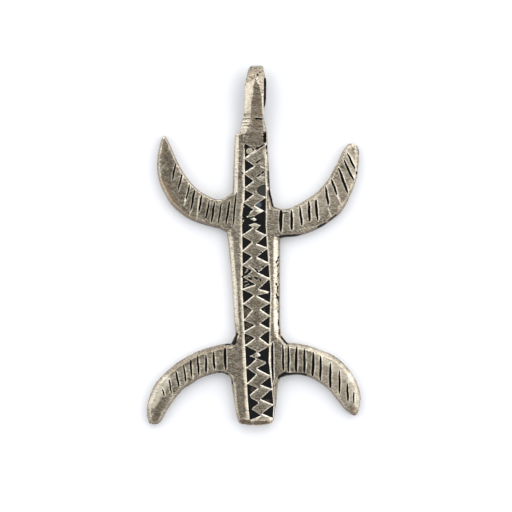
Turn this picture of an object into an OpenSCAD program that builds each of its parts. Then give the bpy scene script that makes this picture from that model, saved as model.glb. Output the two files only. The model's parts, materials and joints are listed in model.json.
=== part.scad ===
// Salamander pendant: a flat silver lizard with a cord loop folded back from its head.
// It lies face up on its flat back. +X is to its right, +Y runs towards the loop, +Z out
// of its face. The origin is at the middle of its length and width, on the surface under it.

/* [Size] */
// Length from the top of the loop to the foot of the tail
pendant_length = 75; // [60:1:90]

/* [Plate] */
// Thickness of the body, the arms and the legs
plate_t = 2.5; // [2.3:0.05:2.8]
// Height of the upright part of the plate's sides
side_h = 1.2; // [0.8:0.1:1.5]
// Width of the sloping edge along the arms and along the lower side of the legs
arm_slope = 0.6; // [0.3:0.05:0.7]
// Width of the sloping edge along the upper side of the left arm, which is filed sharper
sharp_slope = 0.25; // [0.15:0.05:0.6]
// Width of the sloping edge along the upper side of the legs
leg_slope = 0.9; // [0.4:0.05:1]
// How much thinner the arms and the legs are at their tips
tip_thinning = 0.5; // [0:0.1:0.8]

/* [Band] */
// Depth of the band of triangles below the face
band_drop = 0.12; // [0.06:0.02:0.2]
// Width and depth of the sloping lip along each triangle's two slanting sides
lip = 0.1; // [0.06:0.01:0.12]
// Depth of the triangular pockets below the face
pocket_depth = 1; // [0.8:0.1:1.2]

/* [Niello] */
// Gap between the black filling and the metal all round it
fill_gap = 0.04; // [0.02:0.01:0.06]
// Depth of the filling's top below the band
fill_drop = 0.16; // [0.14:0.02:0.3]

/* [Cut lines] */
// Depth of a cut line for each millimetre of its width
cut_depth_ratio = 1.1; // [0.8:0.1:1.4]

/* [Hidden] */

// The tables below give a pendant of this length
drawn_length = 75;
size = pendant_length / drawn_length;

// Rings between two rows of a limb's or the loop's table
limb_steps = 3;
loop_steps = 3;
// Share of a sloping edge's width that its steeper lower half takes, and of its height
slope_mid_in = 0.3;
slope_mid_up = 0.6;
// Most of a narrow tip's width that one sloping edge may take
tip_slope_share = 0.32;
// Share of a limb's length after which it thins towards the tip
thinning_from = 0.7;
// Width of the sloping side of the sunk band, outside its border
band_side = 0.2;
// Width of the flat ledge between a pocket and the border that it stands on
ledge = 0.05;
// Height by which every cutter stands above the face
over = 0.3;

// Body: height on the page, left edge, right edge, slope width left and right
body_rows = [
    // y,    left,  right, slope_l, slope_r
    [ 23.3,  -3.9,   2.8,  0.7,  0.4],
    [ 19.9,  -4.1,   3.0,  1.0,  0.5],
    [ 15.7,  -4.3,   3.2,  1.0,  0.5],
    [ 11.6,  -4.4,   3.4,  0.9,  0.6],
    [  8.2,  -5.0,   4.2,  0.8,  1.0],
    [  2.6,  -5.7,   5.4,  0.8,  1.2],
    [  1.1,  -5.4,   5.5,  0.8,  1.3],
    [ -3.0,  -5.0,   5.5,  0.8,  1.4],
    [ -7.2,  -4.6,   5.5,  0.9,  1.4],
    [-11.4,  -4.3,   5.5,  0.9,  1.4],
    [-15.5,  -4.1,   5.5,  0.9,  1.4],
    [-18.7,  -3.8,   5.7,  0.8,  1.3],
    [-20.2,  -4.6,   6.9,  0.8,  1.0],
    [-21.6,  -5.2,   7.2,  0.8,  1.0],
    [-26.6,  -5.8,   6.4,  0.8,  1.0],
    [-27.6,  -4.9,   5.6,  0.6,  0.8],
    [-28.9,  -4.7,   5.0,  0.6,  0.6],
    [-32.2,  -4.2,   4.8,  0.6,  0.5],
    [-34.3,  -3.9,   4.5,  0.6,  0.5],
    [-36.4,  -3.4,   4.2,  0.5,  0.4],
    [-37.1,  -3.2,   3.8,  0.5,  0.4],
    [-37.5,  -1.2,   1.8,  0.4,  0.4]];

// Arms and legs: one row for each section from the root inside the body to the tip. The
// upper edge faces the loop; the lower edge faces the tail.
left_arm_rows = [
    // upper_x, upper_y, lower_x, lower_y
    [ -2.9,  10.9,   -2.9,   2.9],
    [ -4.7,  10.9,   -5.7,   2.8],
    [ -6.2,   9.9,   -7.1,   3.5],
    [ -7.9,   9.7,   -8.9,   3.9],
    [ -9.6,  10.4,  -11.2,   4.6],
    [-11.2,  11.3,  -13.3,   5.4],
    [-12.5,  12.4,  -15.4,   6.8],
    [-13.7,  13.8,  -17.3,   8.6],
    [-14.8,  15.4,  -18.8,  11.1],
    [-15.8,  17.2,  -19.8,  13.5],
    [-16.6,  18.9,  -20.2,  16.1],
    [-17.3,  20.6,  -20.1,  19.0],
    [-18.1,  22.2,  -19.6,  21.2],
    [-18.6,  23.0,  -19.2,  22.5]];
right_arm_rows = [
    [  2.6,   8.2,    2.6,   1.8],
    [  4.5,   8.0,    5.3,   1.4],
    [  6.3,   7.6,    6.4,   1.7],
    [  8.0,   8.0,    8.8,   1.9],
    [  9.6,   8.8,   11.3,   2.6],
    [ 11.3,   9.8,   13.6,   3.6],
    [ 13.0,  11.0,   15.7,   4.9],
    [ 14.4,  12.4,   17.6,   6.8],
    [ 15.7,  14.0,   19.2,   9.0],
    [ 16.7,  15.9,   20.6,  11.5],
    [ 17.7,  17.8,   21.5,  14.1],
    [ 18.6,  19.7,   21.9,  17.2],
    [ 19.5,  21.0,   22.0,  19.6],
    [ 20.3,  21.4,   21.6,  20.9]];
left_leg_rows = [
    [ -2.6, -20.6,   -2.6, -27.4],
    [ -5.0, -20.5,   -5.2, -27.2],
    [ -6.3, -20.6,   -6.4, -26.7],
    [ -8.1, -21.0,   -8.1, -26.8],
    [-10.2, -21.6,  -10.0, -27.3],
    [-12.3, -22.4,  -11.6, -28.0],
    [-14.4, -23.5,  -13.3, -29.1],
    [-16.4, -24.8,  -14.8, -30.1],
    [-18.5, -26.6,  -16.0, -31.5],
    [-20.4, -28.6,  -17.2, -33.0],
    [-21.6, -31.0,  -18.1, -34.4],
    [-22.3, -33.5,  -18.9, -35.9],
    [-22.3, -35.9,  -19.6, -37.0],
    [-21.8, -37.3,  -20.3, -37.4]];
right_leg_rows = [
    [  3.0, -20.4,    3.0, -27.6],
    [  6.0, -20.4,    5.6, -27.6],
    [  7.6, -20.4,    7.0, -27.2],
    [  9.6, -20.6,    9.2, -27.0],
    [ 11.9, -21.1,   11.3, -27.4],
    [ 14.2, -22.0,   13.0, -28.2],
    [ 16.3, -22.8,   14.4, -29.1],
    [ 18.2, -24.1,   15.7, -30.1],
    [ 19.7, -25.7,   16.8, -31.5],
    [ 20.9, -27.4,   18.0, -33.0],
    [ 21.8, -29.3,   19.0, -34.2],
    [ 22.3, -31.4,   19.9, -34.9],
    [ 22.2, -33.3,   20.5, -35.4],
    [ 21.8, -34.9,   21.2, -35.6]];

// Loop: middle line of the tang as it leaves the plate, rises, turns back over the cord
// and is tucked against the neck, with its side edges, its thickness and the two ridges
// between which its outer face is flat
loop_rows = [
    // y,    z,    left, ridge_l, ridge_r, right, thick
    [ 19.5, 1.20,  -2.2,  -1.9,    2.1,    2.3,   2.1],
    [ 21.4, 1.40,  -2.5,  -2.1,    2.2,    2.6,   2.2],
    [ 23.3, 1.65,  -2.8,  -1.9,    2.2,    2.8,   2.2],
    [ 24.8, 2.10,  -2.7,  -1.2,    2.1,    2.4,   2.1],
    [ 26.3, 2.70,  -2.3,  -0.7,    1.9,    2.1,   1.9],
    [ 28.3, 3.50,  -2.0,  -0.6,    1.9,    2.1,   1.6],
    [ 31.0, 4.15,  -1.9,  -0.2,    1.6,    2.1,   1.4],
    [ 33.2, 4.35,  -1.8,   0.0,    1.1,    2.1,   1.3],
    [ 34.5, 4.25,  -1.5,   0.2,    0.5,    2.1,   1.3],
    [ 35.6, 3.90,  -1.1,  -0.8,    1.8,    2.1,   1.3],
    [ 36.6, 3.05,  -0.8,  -0.5,    1.7,    2.0,   1.3],
    [ 36.8, 2.10,  -0.9,  -0.6,    1.7,    2.0,   1.3],
    [ 36.1, 1.20,  -1.3,  -1.0,    1.9,    2.2,   1.2],
    [ 34.8, 0.75,  -1.6,  -1.3,    2.2,    2.5,   1.2],
    [ 32.5, 0.65,  -1.8,  -1.5,    2.2,    2.5,   1.2],
    [ 30.0, 0.65,  -1.8,  -1.5,    2.1,    2.4,   1.1],
    [ 28.2, 0.75,  -1.5,  -1.2,    1.7,    2.0,   1.0],
    [ 26.8, 1.10,  -1.2,  -0.9,    1.3,    1.6,   1.0],
    [ 25.6, 1.70,  -1.0,  -0.8,    1.0,    1.2,   0.9]];
// Row of the loop's table at the top of the bend, where its two halves are joined
loop_top_row = 10;
// Fall of a facet beside a ridge for each millimetre of its width, and the most of the
// loop's thickness that it falls
facet_slope = 0.55;
facet_most = 0.6;

// Band: its floor's left and right border down the body
band_rows = [
    // y,    left,  right
    [ 20.8, -1.85,  2.30],
    [  9.3, -1.85,  2.40],
    [  8.4, -2.20,  2.35],
    [  6.5, -2.35,  2.35],
    [  3.2, -2.32,  2.35],
    [ -3.0, -2.25,  2.85],
    [ -9.3, -2.25,  3.35],
    [-15.5, -1.95,  3.15],
    [-21.0, -1.65,  3.05],
    [-24.0, -1.50,  2.95],
    [-28.0, -1.30,  3.40],
    [-32.2, -1.10,  3.90],
    [-34.5, -0.90,  4.00],
    [-36.5, -0.65,  3.75]];

// Pockets that stand on the left border: their upper and lower end on it and their tip
left_pockets = [
    // y_up,    y_low,   tip_x,  tip_y
    [ 21.00,  18.35,   0.15,  19.90],
    [ 17.90,  15.40,   0.05,  16.55],
    [ 14.70,  12.20,  -0.15,  13.45],
    [ 11.55,   9.25,  -0.15,  10.65],
    [  8.80,   5.95,  -0.15,   7.50],
    [  5.65,   4.75,   0.00,   5.00],
    [  4.40,   2.30,  -0.25,   3.75],
    [  1.85,  -0.95,  -0.40,   0.70],
    [ -1.35,  -3.85,  -0.50,  -2.30],
    [ -4.25,  -6.30,  -0.50,  -5.20],
    [ -6.65,  -8.95,   0.25,  -8.15],
    [ -9.30, -12.00,  -0.05, -10.35],
    [-12.30, -15.35,  -0.40, -13.45],
    [-15.75, -17.75,   0.15, -16.60],
    [-18.45, -20.65,   0.15, -19.30],
    [-20.95, -22.95,   0.50, -22.15],
    [-23.25, -25.35,   0.35, -23.75],
    [-25.65, -28.60,   0.45, -26.90],
    [-28.95, -31.35,   0.75, -29.75],
    [-31.65, -34.10,   0.90, -32.65],
    [-34.40, -36.30,   1.45, -35.40]];
// The same for the right border
right_pockets = [
    [ 12.60,  10.15,   0.55,  11.45],
    [  9.80,   7.10,   0.25,   8.35],
    [  6.80,   4.40,   0.00,   5.90],
    [  4.10,   2.30,   0.45,   3.30],
    [  1.95,  -0.35,   0.65,   0.40],
    [ -0.85,  -3.45,   0.75,  -2.40],
    [ -4.05,  -6.70,   1.00,  -5.65],
    [ -7.20,  -9.65,   1.10,  -9.05],
    [ -9.95, -11.80,   0.75, -10.45],
    [-12.20, -14.50,   1.40, -13.25],
    [-14.90, -17.20,   1.40, -16.25],
    [-17.85, -20.55,   1.30, -19.20],
    [-21.15, -24.15,   0.95, -22.35],
    [-24.45, -27.00,   0.75, -25.65],
    [-27.50, -29.80,   1.50, -29.00],
    [-30.15, -33.05,   1.50, -32.00],
    [-33.40, -35.90,   1.80, -35.00]];

// Cut lines across the limbs, by the body and at the arm's root
cut_rows = [
    // x1,     y1,     x2,     y2,   width
    [-16.20,  17.20, -17.00,  13.65, 0.31],
    [-15.00,  14.80, -15.80,  11.35, 0.27],
    [-13.40,  12.70, -14.10,   9.50, 0.22],
    [-12.30,  11.50, -13.20,   7.20, 0.33],
    [-10.80,  10.50, -11.50,   7.00, 0.31],
    [ -9.20,   9.50, -10.00,   5.60, 0.27],
    [ -8.10,   9.10,  -8.90,   4.80, 0.31],
    [ -6.70,   8.90,  -7.50,   4.50, 0.25],
    [ -5.10,   9.20,  -5.80,   4.20, 0.30],
    [ -3.60,  11.10,  -4.40,   3.90, 0.25],
    [  5.65,   7.30,   5.65,   2.80, 0.50],
    [  7.80,   7.40,   7.95,   3.30, 0.38],
    [  9.60,   8.20,  10.00,   4.20, 0.31],
    [ 11.40,   9.30,  11.70,   5.10, 0.38],
    [ 12.90,   9.50,  13.30,   5.20, 0.38],
    [ 15.00,  12.30,  15.50,   8.50, 0.33],
    [ 16.20,  13.80,  17.30,  10.50, 0.31],
    [ 17.60,  16.20,  19.60,  11.00, 0.38],
    [ 18.80,  17.80,  20.80,  13.50, 0.31],
    [ 19.40,  19.30,  21.10,  16.00, 0.31],
    [ -6.00, -21.40,  -5.90, -26.00, 0.45],
    [ -8.40, -22.10,  -8.20, -25.70, 0.33],
    [-10.00, -22.80,  -9.90, -26.50, 0.33],
    [-11.70, -23.00, -11.50, -27.00, 0.30],
    [-13.20, -23.90, -12.90, -27.60, 0.30],
    [-14.70, -24.90, -14.10, -28.40, 0.25],
    [-16.20, -26.20, -15.60, -29.50, 0.27],
    [-17.70, -27.90, -17.10, -30.90, 0.20],
    [-19.00, -29.90, -18.70, -31.40, 0.20],
    [  6.00, -20.60,   6.20, -26.10, 0.31],
    [  7.15, -20.80,   7.25, -26.40, 0.31],
    [  8.90, -21.10,   8.80, -26.40, 0.42],
    [ 10.60, -21.50,  10.50, -26.60, 0.38],
    [ 12.40, -22.20,  12.30, -27.20, 0.42],
    [ 13.90, -23.00,  13.90, -28.20, 0.33],
    [ 16.00, -24.50,  15.90, -29.70, 0.38],
    [ 17.90, -26.00,  17.80, -30.90, 0.27],
    [ 19.50, -28.70,  19.60, -32.40, 0.31],
    [ 20.80, -30.60,  20.90, -33.00, 0.20],
    [  3.85, -20.30,   3.95, -28.70, 0.36],
    [  3.25,  12.00,   3.40,  10.20, 0.30],
    [  3.45,  10.10,   4.20,   8.10, 0.38]];

// Value at a share of the way from b to c, on a smooth curve that also regards a and d
function curve_point(a, b, c, d, f) =
    (2 * b + (c - a) * f + (2 * a - 5 * b + 4 * c - d) * f * f
     + (3 * b - a - 3 * c + d) * f * f * f) / 2;

// A table's rows with smooth rows between them
function smooth_rows(rows, steps) =
    let (last = len(rows) - 1)
    concat([for (i = [0 : last - 1], s = [0 : steps - 1])
        curve_point(rows[max(i - 1, 0)], rows[i], rows[i + 1], rows[min(i + 2, last)], s / steps)],
        [rows[last]]);

// A table's column at height y, where the rows run downwards
function column_at(rows, column, y, i = 0) =
    y >= rows[0][0] ? rows[0][column]
    : i >= len(rows) - 2 || y >= rows[i + 1][0]
        ? let (a = rows[i], b = rows[i + 1], f = min((a[0] - y) / (a[0] - b[0]), 1))
            a[column] + (b[column] - a[column]) * f
        : column_at(rows, column, y, i + 1);

// Section of the plate between two edge points, with a sloping edge at each
function plate_ring(a, b, slope_a, slope_b, top) =
    let (
        u = (b - a) / norm(b - a),
        most = tip_slope_share * norm(b - a),
        in_a = u * min(slope_a, most),
        in_b = u * min(slope_b, most),
        mid = side_h + slope_mid_up * (top - side_h))
    [for (p = [
        [a, 0], [a, side_h], [a + in_a * slope_mid_in, mid], [a + in_a, top],
        [b - in_b, top], [b - in_b * slope_mid_in, mid], [b, side_h], [b, 0]])
        [p[0][0], p[0][1], p[1]]];

// Height of a limb's face at a share of the way to its tip
function limb_top(f) =
    let (past = max(f - thinning_from, 0) / (1 - thinning_from))
    plate_t - tip_thinning * past * past;

function limb_rings(rows, slope_up, slope_low) =
    let (all = smooth_rows(rows, limb_steps))
    [for (i = [0 : len(all) - 1])
        plate_ring([all[i][0], all[i][1]], [all[i][2], all[i][3]],
            slope_up, slope_low, limb_top(i / (len(all) - 1)))];

// Sections of the loop's tang, each square to its middle line
function loop_rings(rows) =
    let (all = smooth_rows(rows, loop_steps), last = len(all) - 1)
    [for (i = [0 : last])
        let (
            r = all[i],
            ahead = all[min(i + 1, last)],
            behind = all[max(i - 1, 0)],
            step = [ahead[0] - behind[0], ahead[1] - behind[1]],
            run = step / norm(step),
            half = r[6] / 2,
            most = facet_most * r[6],
            low_l = half - min(facet_slope * (r[3] - r[2]), most),
            low_r = half - min(facet_slope * (r[5] - r[4]), most))
        [for (p = [[r[2], -half], [r[2], low_l], [r[3], half], [r[4], half], [r[5], low_r], [r[5], -half]])
            [p[0], r[0] - run[1] * p[1], r[1] + run[0] * p[1]]]];

// Corners of a pocket: upper and lower end beside the border, then the tip
function pocket(row, border_column, inward) = [
    [column_at(band_rows, border_column, row[0]) + inward, row[0]],
    [column_at(band_rows, border_column, row[1]) + inward, row[1]],
    [row[2], row[3]]];

all_pockets = concat(
    [for (row = left_pockets) pocket(row, 1, ledge)],
    [for (row = right_pockets) pocket(row, 2, -ledge)]);

// Point where the line through p along u meets the line through q along v
function meet(p, u, q, v) = p + u * cross(q - p, v) / cross(u, v);

// A pocket's triangle with its border side moved out by at_border and the other two by at_sides
function grown(t, at_border, at_sides) =
    let (
        turn = sign(cross(t[1] - t[0], t[2] - t[0])),
        run = [for (k = [0 : 2]) (t[(k + 1) % 3] - t[k]) / norm(t[(k + 1) % 3] - t[k])],
        on = [for (k = [0 : 2]) t[k] + turn * (k == 0 ? at_border : at_sides) * [run[k][1], -run[k][0]]])
    [for (k = [0 : 2]) meet(on[(k + 2) % 3], run[(k + 2) % 3], on[k], run[k])];

// Whether the first ring turns clockwise as seen from behind the first step
function turns_forward(rings) =
    cross(rings[0][1] - rings[0][0], rings[0][2] - rings[0][0]) * (rings[1][0] - rings[0][0]) > 0;

// Solid through a list of rings that all have the same number of corners
module loft(rings) {
    n = len(rings[0]);
    last = len(rings) - 1;
    points = [for (ring = rings) each ring];
    sides = [for (i = [0 : last - 1], k = [0 : n - 1])
        let (a = i * n + k, b = i * n + (k + 1) % n)
        each [[a, a + n, b], [b, a + n, b + n]]];
    start = [for (k = [1 : n - 2]) [0, k, k + 1]];
    end = [for (k = [1 : n - 2]) [last * n, last * n + k + 1, last * n + k]];
    faces = concat(start, end, sides);
    polyhedron(points, turns_forward(rings) ? faces : [for (f = faces) [f[2], f[1], f[0]]]);
}

module body() {
    loft([for (r = body_rows) plate_ring([r[1], r[0]], [r[2], r[0]], r[3], r[4], plate_t)]);
}

module limbs() {
    loft(limb_rings(left_arm_rows, sharp_slope, arm_slope));
    loft(limb_rings(right_arm_rows, arm_slope, arm_slope));
    loft(limb_rings(left_leg_rows, leg_slope, arm_slope));
    loft(limb_rings(right_leg_rows, leg_slope, arm_slope));
}

module cord_loop() {
    rings = loop_rings(loop_rows);
    top = loop_top_row * loop_steps;
    loft([for (i = [0 : top]) rings[i]]);
    loft([for (i = [top : len(rings) - 1]) rings[i]]);
}

// Cutter for the sunk band, with sloping sides
module band_cut() {
    out = band_side * (band_drop + over) / band_drop;
    loft([for (r = band_rows) [
        [r[1], r[0], plate_t - band_drop],
        [r[1] - out, r[0], plate_t + over],
        [r[2] + out, r[0], plate_t + over],
        [r[2], r[0], plate_t - band_drop]]]);
}

// Cutter for one pocket: a straight well under a lip that slopes up to the band
module pocket_cut(corners) {
    lip_z = plate_t - band_drop - lip;
    top_z = plate_t + over;
    loft([
        [for (p = corners) [p[0], p[1], plate_t - pocket_depth]],
        [for (p = corners) [p[0], p[1], lip_z]],
        [for (p = grown(corners, 0, top_z - lip_z)) [p[0], p[1], top_z]]]);
}

// Cutter for one cut line: a keel that comes up to a point at both ends
module line_cut(row) {
    a = [row[0], row[1]];
    b = [row[2], row[3]];
    along = (b - a) / norm(b - a);
    across = [-along[1], along[0]];
    deep = cut_depth_ratio * row[4];
    flare = (deep + over) / deep;
    half = across * row[4] / 2 * flare;
    run_in = along * row[4] * 1.5;
    reach = run_in * (flare - 1);
    top = plate_t + over;
    rim = [
        a - reach, a + run_in + half, b - run_in + half,
        b + reach, b - run_in - half, a + run_in - half];
    keel = [a + run_in, b - run_in];
    polyhedron(
        concat([for (p = rim) [p[0], p[1], top]], [for (p = keel) [p[0], p[1], plate_t - deep]]),
        [[0, 1, 2], [0, 2, 3], [0, 3, 4], [0, 4, 5],
         [1, 0, 6], [2, 1, 6], [2, 6, 7], [3, 2, 7], [4, 3, 7], [5, 4, 7], [5, 7, 6], [0, 5, 6]]);
}

module pendant() {
    color([0.60, 0.57, 0.51])
    scale(size)
    difference() {
        union() {
            body();
            limbs();
            cord_loop();
        }
        band_cut();
        for (corners = all_pockets) pocket_cut(corners);
        for (row = cut_rows) line_cut(row);
    }
}

module niello() {
    floor_z = plate_t - pocket_depth + fill_gap;
    top_z = plate_t - band_drop - fill_drop;
    color([0.10, 0.10, 0.11])
    scale(size)
    for (corners = all_pockets)
        translate([0, 0, floor_z])
            linear_extrude(top_z - floor_z) polygon(grown(corners, -fill_gap, -fill_gap));
}

pendant();
niello();
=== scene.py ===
"""Salamander pendant: a flat silver lizard with a band of black-filled triangles.

The pieces are shaped in millimetres and brought to metres when they are finished. +X is to
the right of the face, +Y runs towards the cord loop and +Z comes out of the face.
"""

import json
import logging
import math
from dataclasses import dataclass, field
from enum import Enum
from typing import Any, ClassVar

import bpy
import numpy as np
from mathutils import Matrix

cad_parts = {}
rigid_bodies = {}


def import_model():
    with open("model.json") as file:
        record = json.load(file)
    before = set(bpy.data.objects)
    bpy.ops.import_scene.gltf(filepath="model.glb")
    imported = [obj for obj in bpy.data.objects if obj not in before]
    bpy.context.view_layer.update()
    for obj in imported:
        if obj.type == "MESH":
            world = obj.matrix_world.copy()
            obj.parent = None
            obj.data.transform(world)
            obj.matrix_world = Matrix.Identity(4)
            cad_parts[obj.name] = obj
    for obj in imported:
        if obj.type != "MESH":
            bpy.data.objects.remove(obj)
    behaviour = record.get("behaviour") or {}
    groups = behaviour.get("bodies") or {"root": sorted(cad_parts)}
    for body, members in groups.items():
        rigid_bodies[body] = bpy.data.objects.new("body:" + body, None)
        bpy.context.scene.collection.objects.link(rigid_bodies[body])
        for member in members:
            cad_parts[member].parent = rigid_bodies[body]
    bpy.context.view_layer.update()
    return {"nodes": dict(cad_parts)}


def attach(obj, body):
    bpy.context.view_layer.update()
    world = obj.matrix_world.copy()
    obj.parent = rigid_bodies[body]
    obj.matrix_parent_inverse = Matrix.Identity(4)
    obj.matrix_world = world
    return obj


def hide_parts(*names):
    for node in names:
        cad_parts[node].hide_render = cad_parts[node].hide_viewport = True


LOG = logging.getLogger("salamander")
MM = 0.001
Pair = tuple[float, float]
Point = tuple[float, float, float]
Colour = tuple[float, float, float, float]
Rows = tuple[tuple[float, ...], ...]
Socket = bpy.types.NodeSocket


class Side(Enum):
    """The border of the band that a triangular pocket stands on."""

    LEFT = -1
    RIGHT = 1


class Edge(Enum):
    """An edge of a triangular pocket: the numbers of its two corners and of the third one."""

    LOWER_OF_LOZENGE = (0, 2, 1)
    UPPER_OF_LOZENGE = (1, 2, 0)
    BORDER = (0, 1, 2)


# Colours and shader nodes


def linear(hex_colour: str) -> Colour:
    """Turns an sRGB colour into Blender's linear one, by the sRGB standard's formula.

    Args:
        hex_colour: Colour such as "#8C8371".

    Returns:
        Red, green, blue and alpha.
    """
    shares = [int(hex_colour[i : i + 2], 16) / 255 for i in (1, 3, 5)]
    return (*[s / 12.92 if s <= 0.04045 else ((s + 0.055) / 1.055) ** 2.4 for s in shares], 1.0)


def add_node(
    tree: bpy.types.NodeTree, kind: str, inputs: dict | None = None, **settings: Any
) -> bpy.types.Node:
    """Adds one shader node.

    Args:
        tree: Node tree that gets it.
        kind: Blender's name for the node.
        inputs: Value or socket for each input, by the input's name or number.
        **settings: The node's own properties.

    Returns:
        The new node.
    """
    node = tree.nodes.new(kind)
    for name, value in settings.items():
        setattr(node, name, value)
    for name, value in (inputs or {}).items():
        if isinstance(value, Socket):
            tree.links.new(value, node.inputs[name])
        else:
            node.inputs[name].default_value = value
    return node


@dataclass
class Shading:
    """The node tree of one material, with the few kinds of node that the finishes use."""

    name: str
    material: bpy.types.Material = field(init=False)
    tree: bpy.types.NodeTree = field(init=False)
    in_mm: Socket = field(init=False)

    def __post_init__(self) -> None:
        """Starts a material whose patterns are laid out in millimetres on the object."""
        self.material = bpy.data.materials.new(self.name)
        self.material.use_nodes = True
        self.tree = self.material.node_tree
        place = add_node(self.tree, "ShaderNodeTexCoord").outputs["Object"]
        inputs = {"Vector": place, "Scale": (1 / MM,) * 3}
        self.in_mm = add_node(self.tree, "ShaderNodeMapping", inputs).outputs[0]

    def set(self, name: str, value: Any) -> None:
        """Sets one input of the material's shader.

        Args:
            name: The input's name.
            value: Its value, or the socket that gives it.
        """
        socket = self.tree.nodes["Principled BSDF"].inputs[name]
        if isinstance(value, Socket):
            self.tree.links.new(value, socket)
        else:
            socket.default_value = value

    def painted(self, name: str) -> Socket:
        """Reads a value that is stored at the mesh's vertices."""
        return add_node(self.tree, "ShaderNodeAttribute", attribute_name=name).outputs["Fac"]

    def noise(self, size: float, detail: float = 4.0, vector: Socket | None = None) -> Socket:
        """Adds noise whose grains are about that many millimetres wide."""
        inputs = {"Vector": vector or self.in_mm, "Scale": 1 / size, "Detail": detail, "Roughness": 0.6}
        return add_node(self.tree, "ShaderNodeTexNoise", inputs).outputs["Fac"]

    def scratches(self, turn: float, width: float, length: float) -> Socket:
        """Adds fine scratches.

        Args:
            turn: Angle between them and X, in degrees.
            width: Their width in millimetres.
            length: Their length in millimetres.

        Returns:
            Noise that is drawn out along them.
        """
        inputs = {"Vector": self.in_mm, "Angle": math.radians(-turn)}
        along = add_node(self.tree, "ShaderNodeVectorRotate", inputs, rotation_type="Z_AXIS").outputs[0]
        inputs = {"Vector": along, "Scale": (1 / length, 1 / width, 1 / length)}
        return self.noise(1.0, 2.0, add_node(self.tree, "ShaderNodeMapping", inputs).outputs[0])

    def step(self, value: Socket, low: float, high: float) -> Socket:
        """Adds a soft step.

        Args:
            value: What is stepped.
            low: Value at which the step is 0.
            high: Value at which it is 1; below low for a step that falls.

        Returns:
            The stepped value.
        """
        inputs = {"Value": value, "From Min": low, "From Max": high}
        node = add_node(self.tree, "ShaderNodeMapRange", inputs, interpolation_type="SMOOTHSTEP")
        return node.outputs["Result"]

    def mix(self, share: Any, a: Any, b: Any, blend: str = "MIX") -> Socket:
        """Adds a mix of two colours, with the share that the second one takes."""
        inputs = {"Factor": share, 6: a, 7: b}
        return add_node(self.tree, "ShaderNodeMix", inputs, data_type="RGBA", blend_type=blend).outputs[2]

    def add(self, a: Any, factor: float, b: Any = 0.0) -> Socket:
        """Adds a times factor plus b, kept between 0 and 1."""
        settings = {"operation": "MULTIPLY_ADD", "use_clamp": True}
        return add_node(self.tree, "ShaderNodeMath", {0: a, 1: factor, 2: b}, **settings).outputs[0]

    def times(self, a: Socket, b: Socket) -> Socket:
        """Adds a product of two values."""
        return add_node(self.tree, "ShaderNodeMath", {0: a, 1: b}, operation="MULTIPLY").outputs[0]

    def bump(self, height: Socket, tallest: float, strength: Any = 1.0) -> None:
        """Gives the shader bumps of that many millimetres at most."""
        inputs = {"Strength": strength, "Distance": tallest * MM, "Height": height}
        self.set("Normal", add_node(self.tree, "ShaderNodeBump", inputs).outputs[0])


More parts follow.
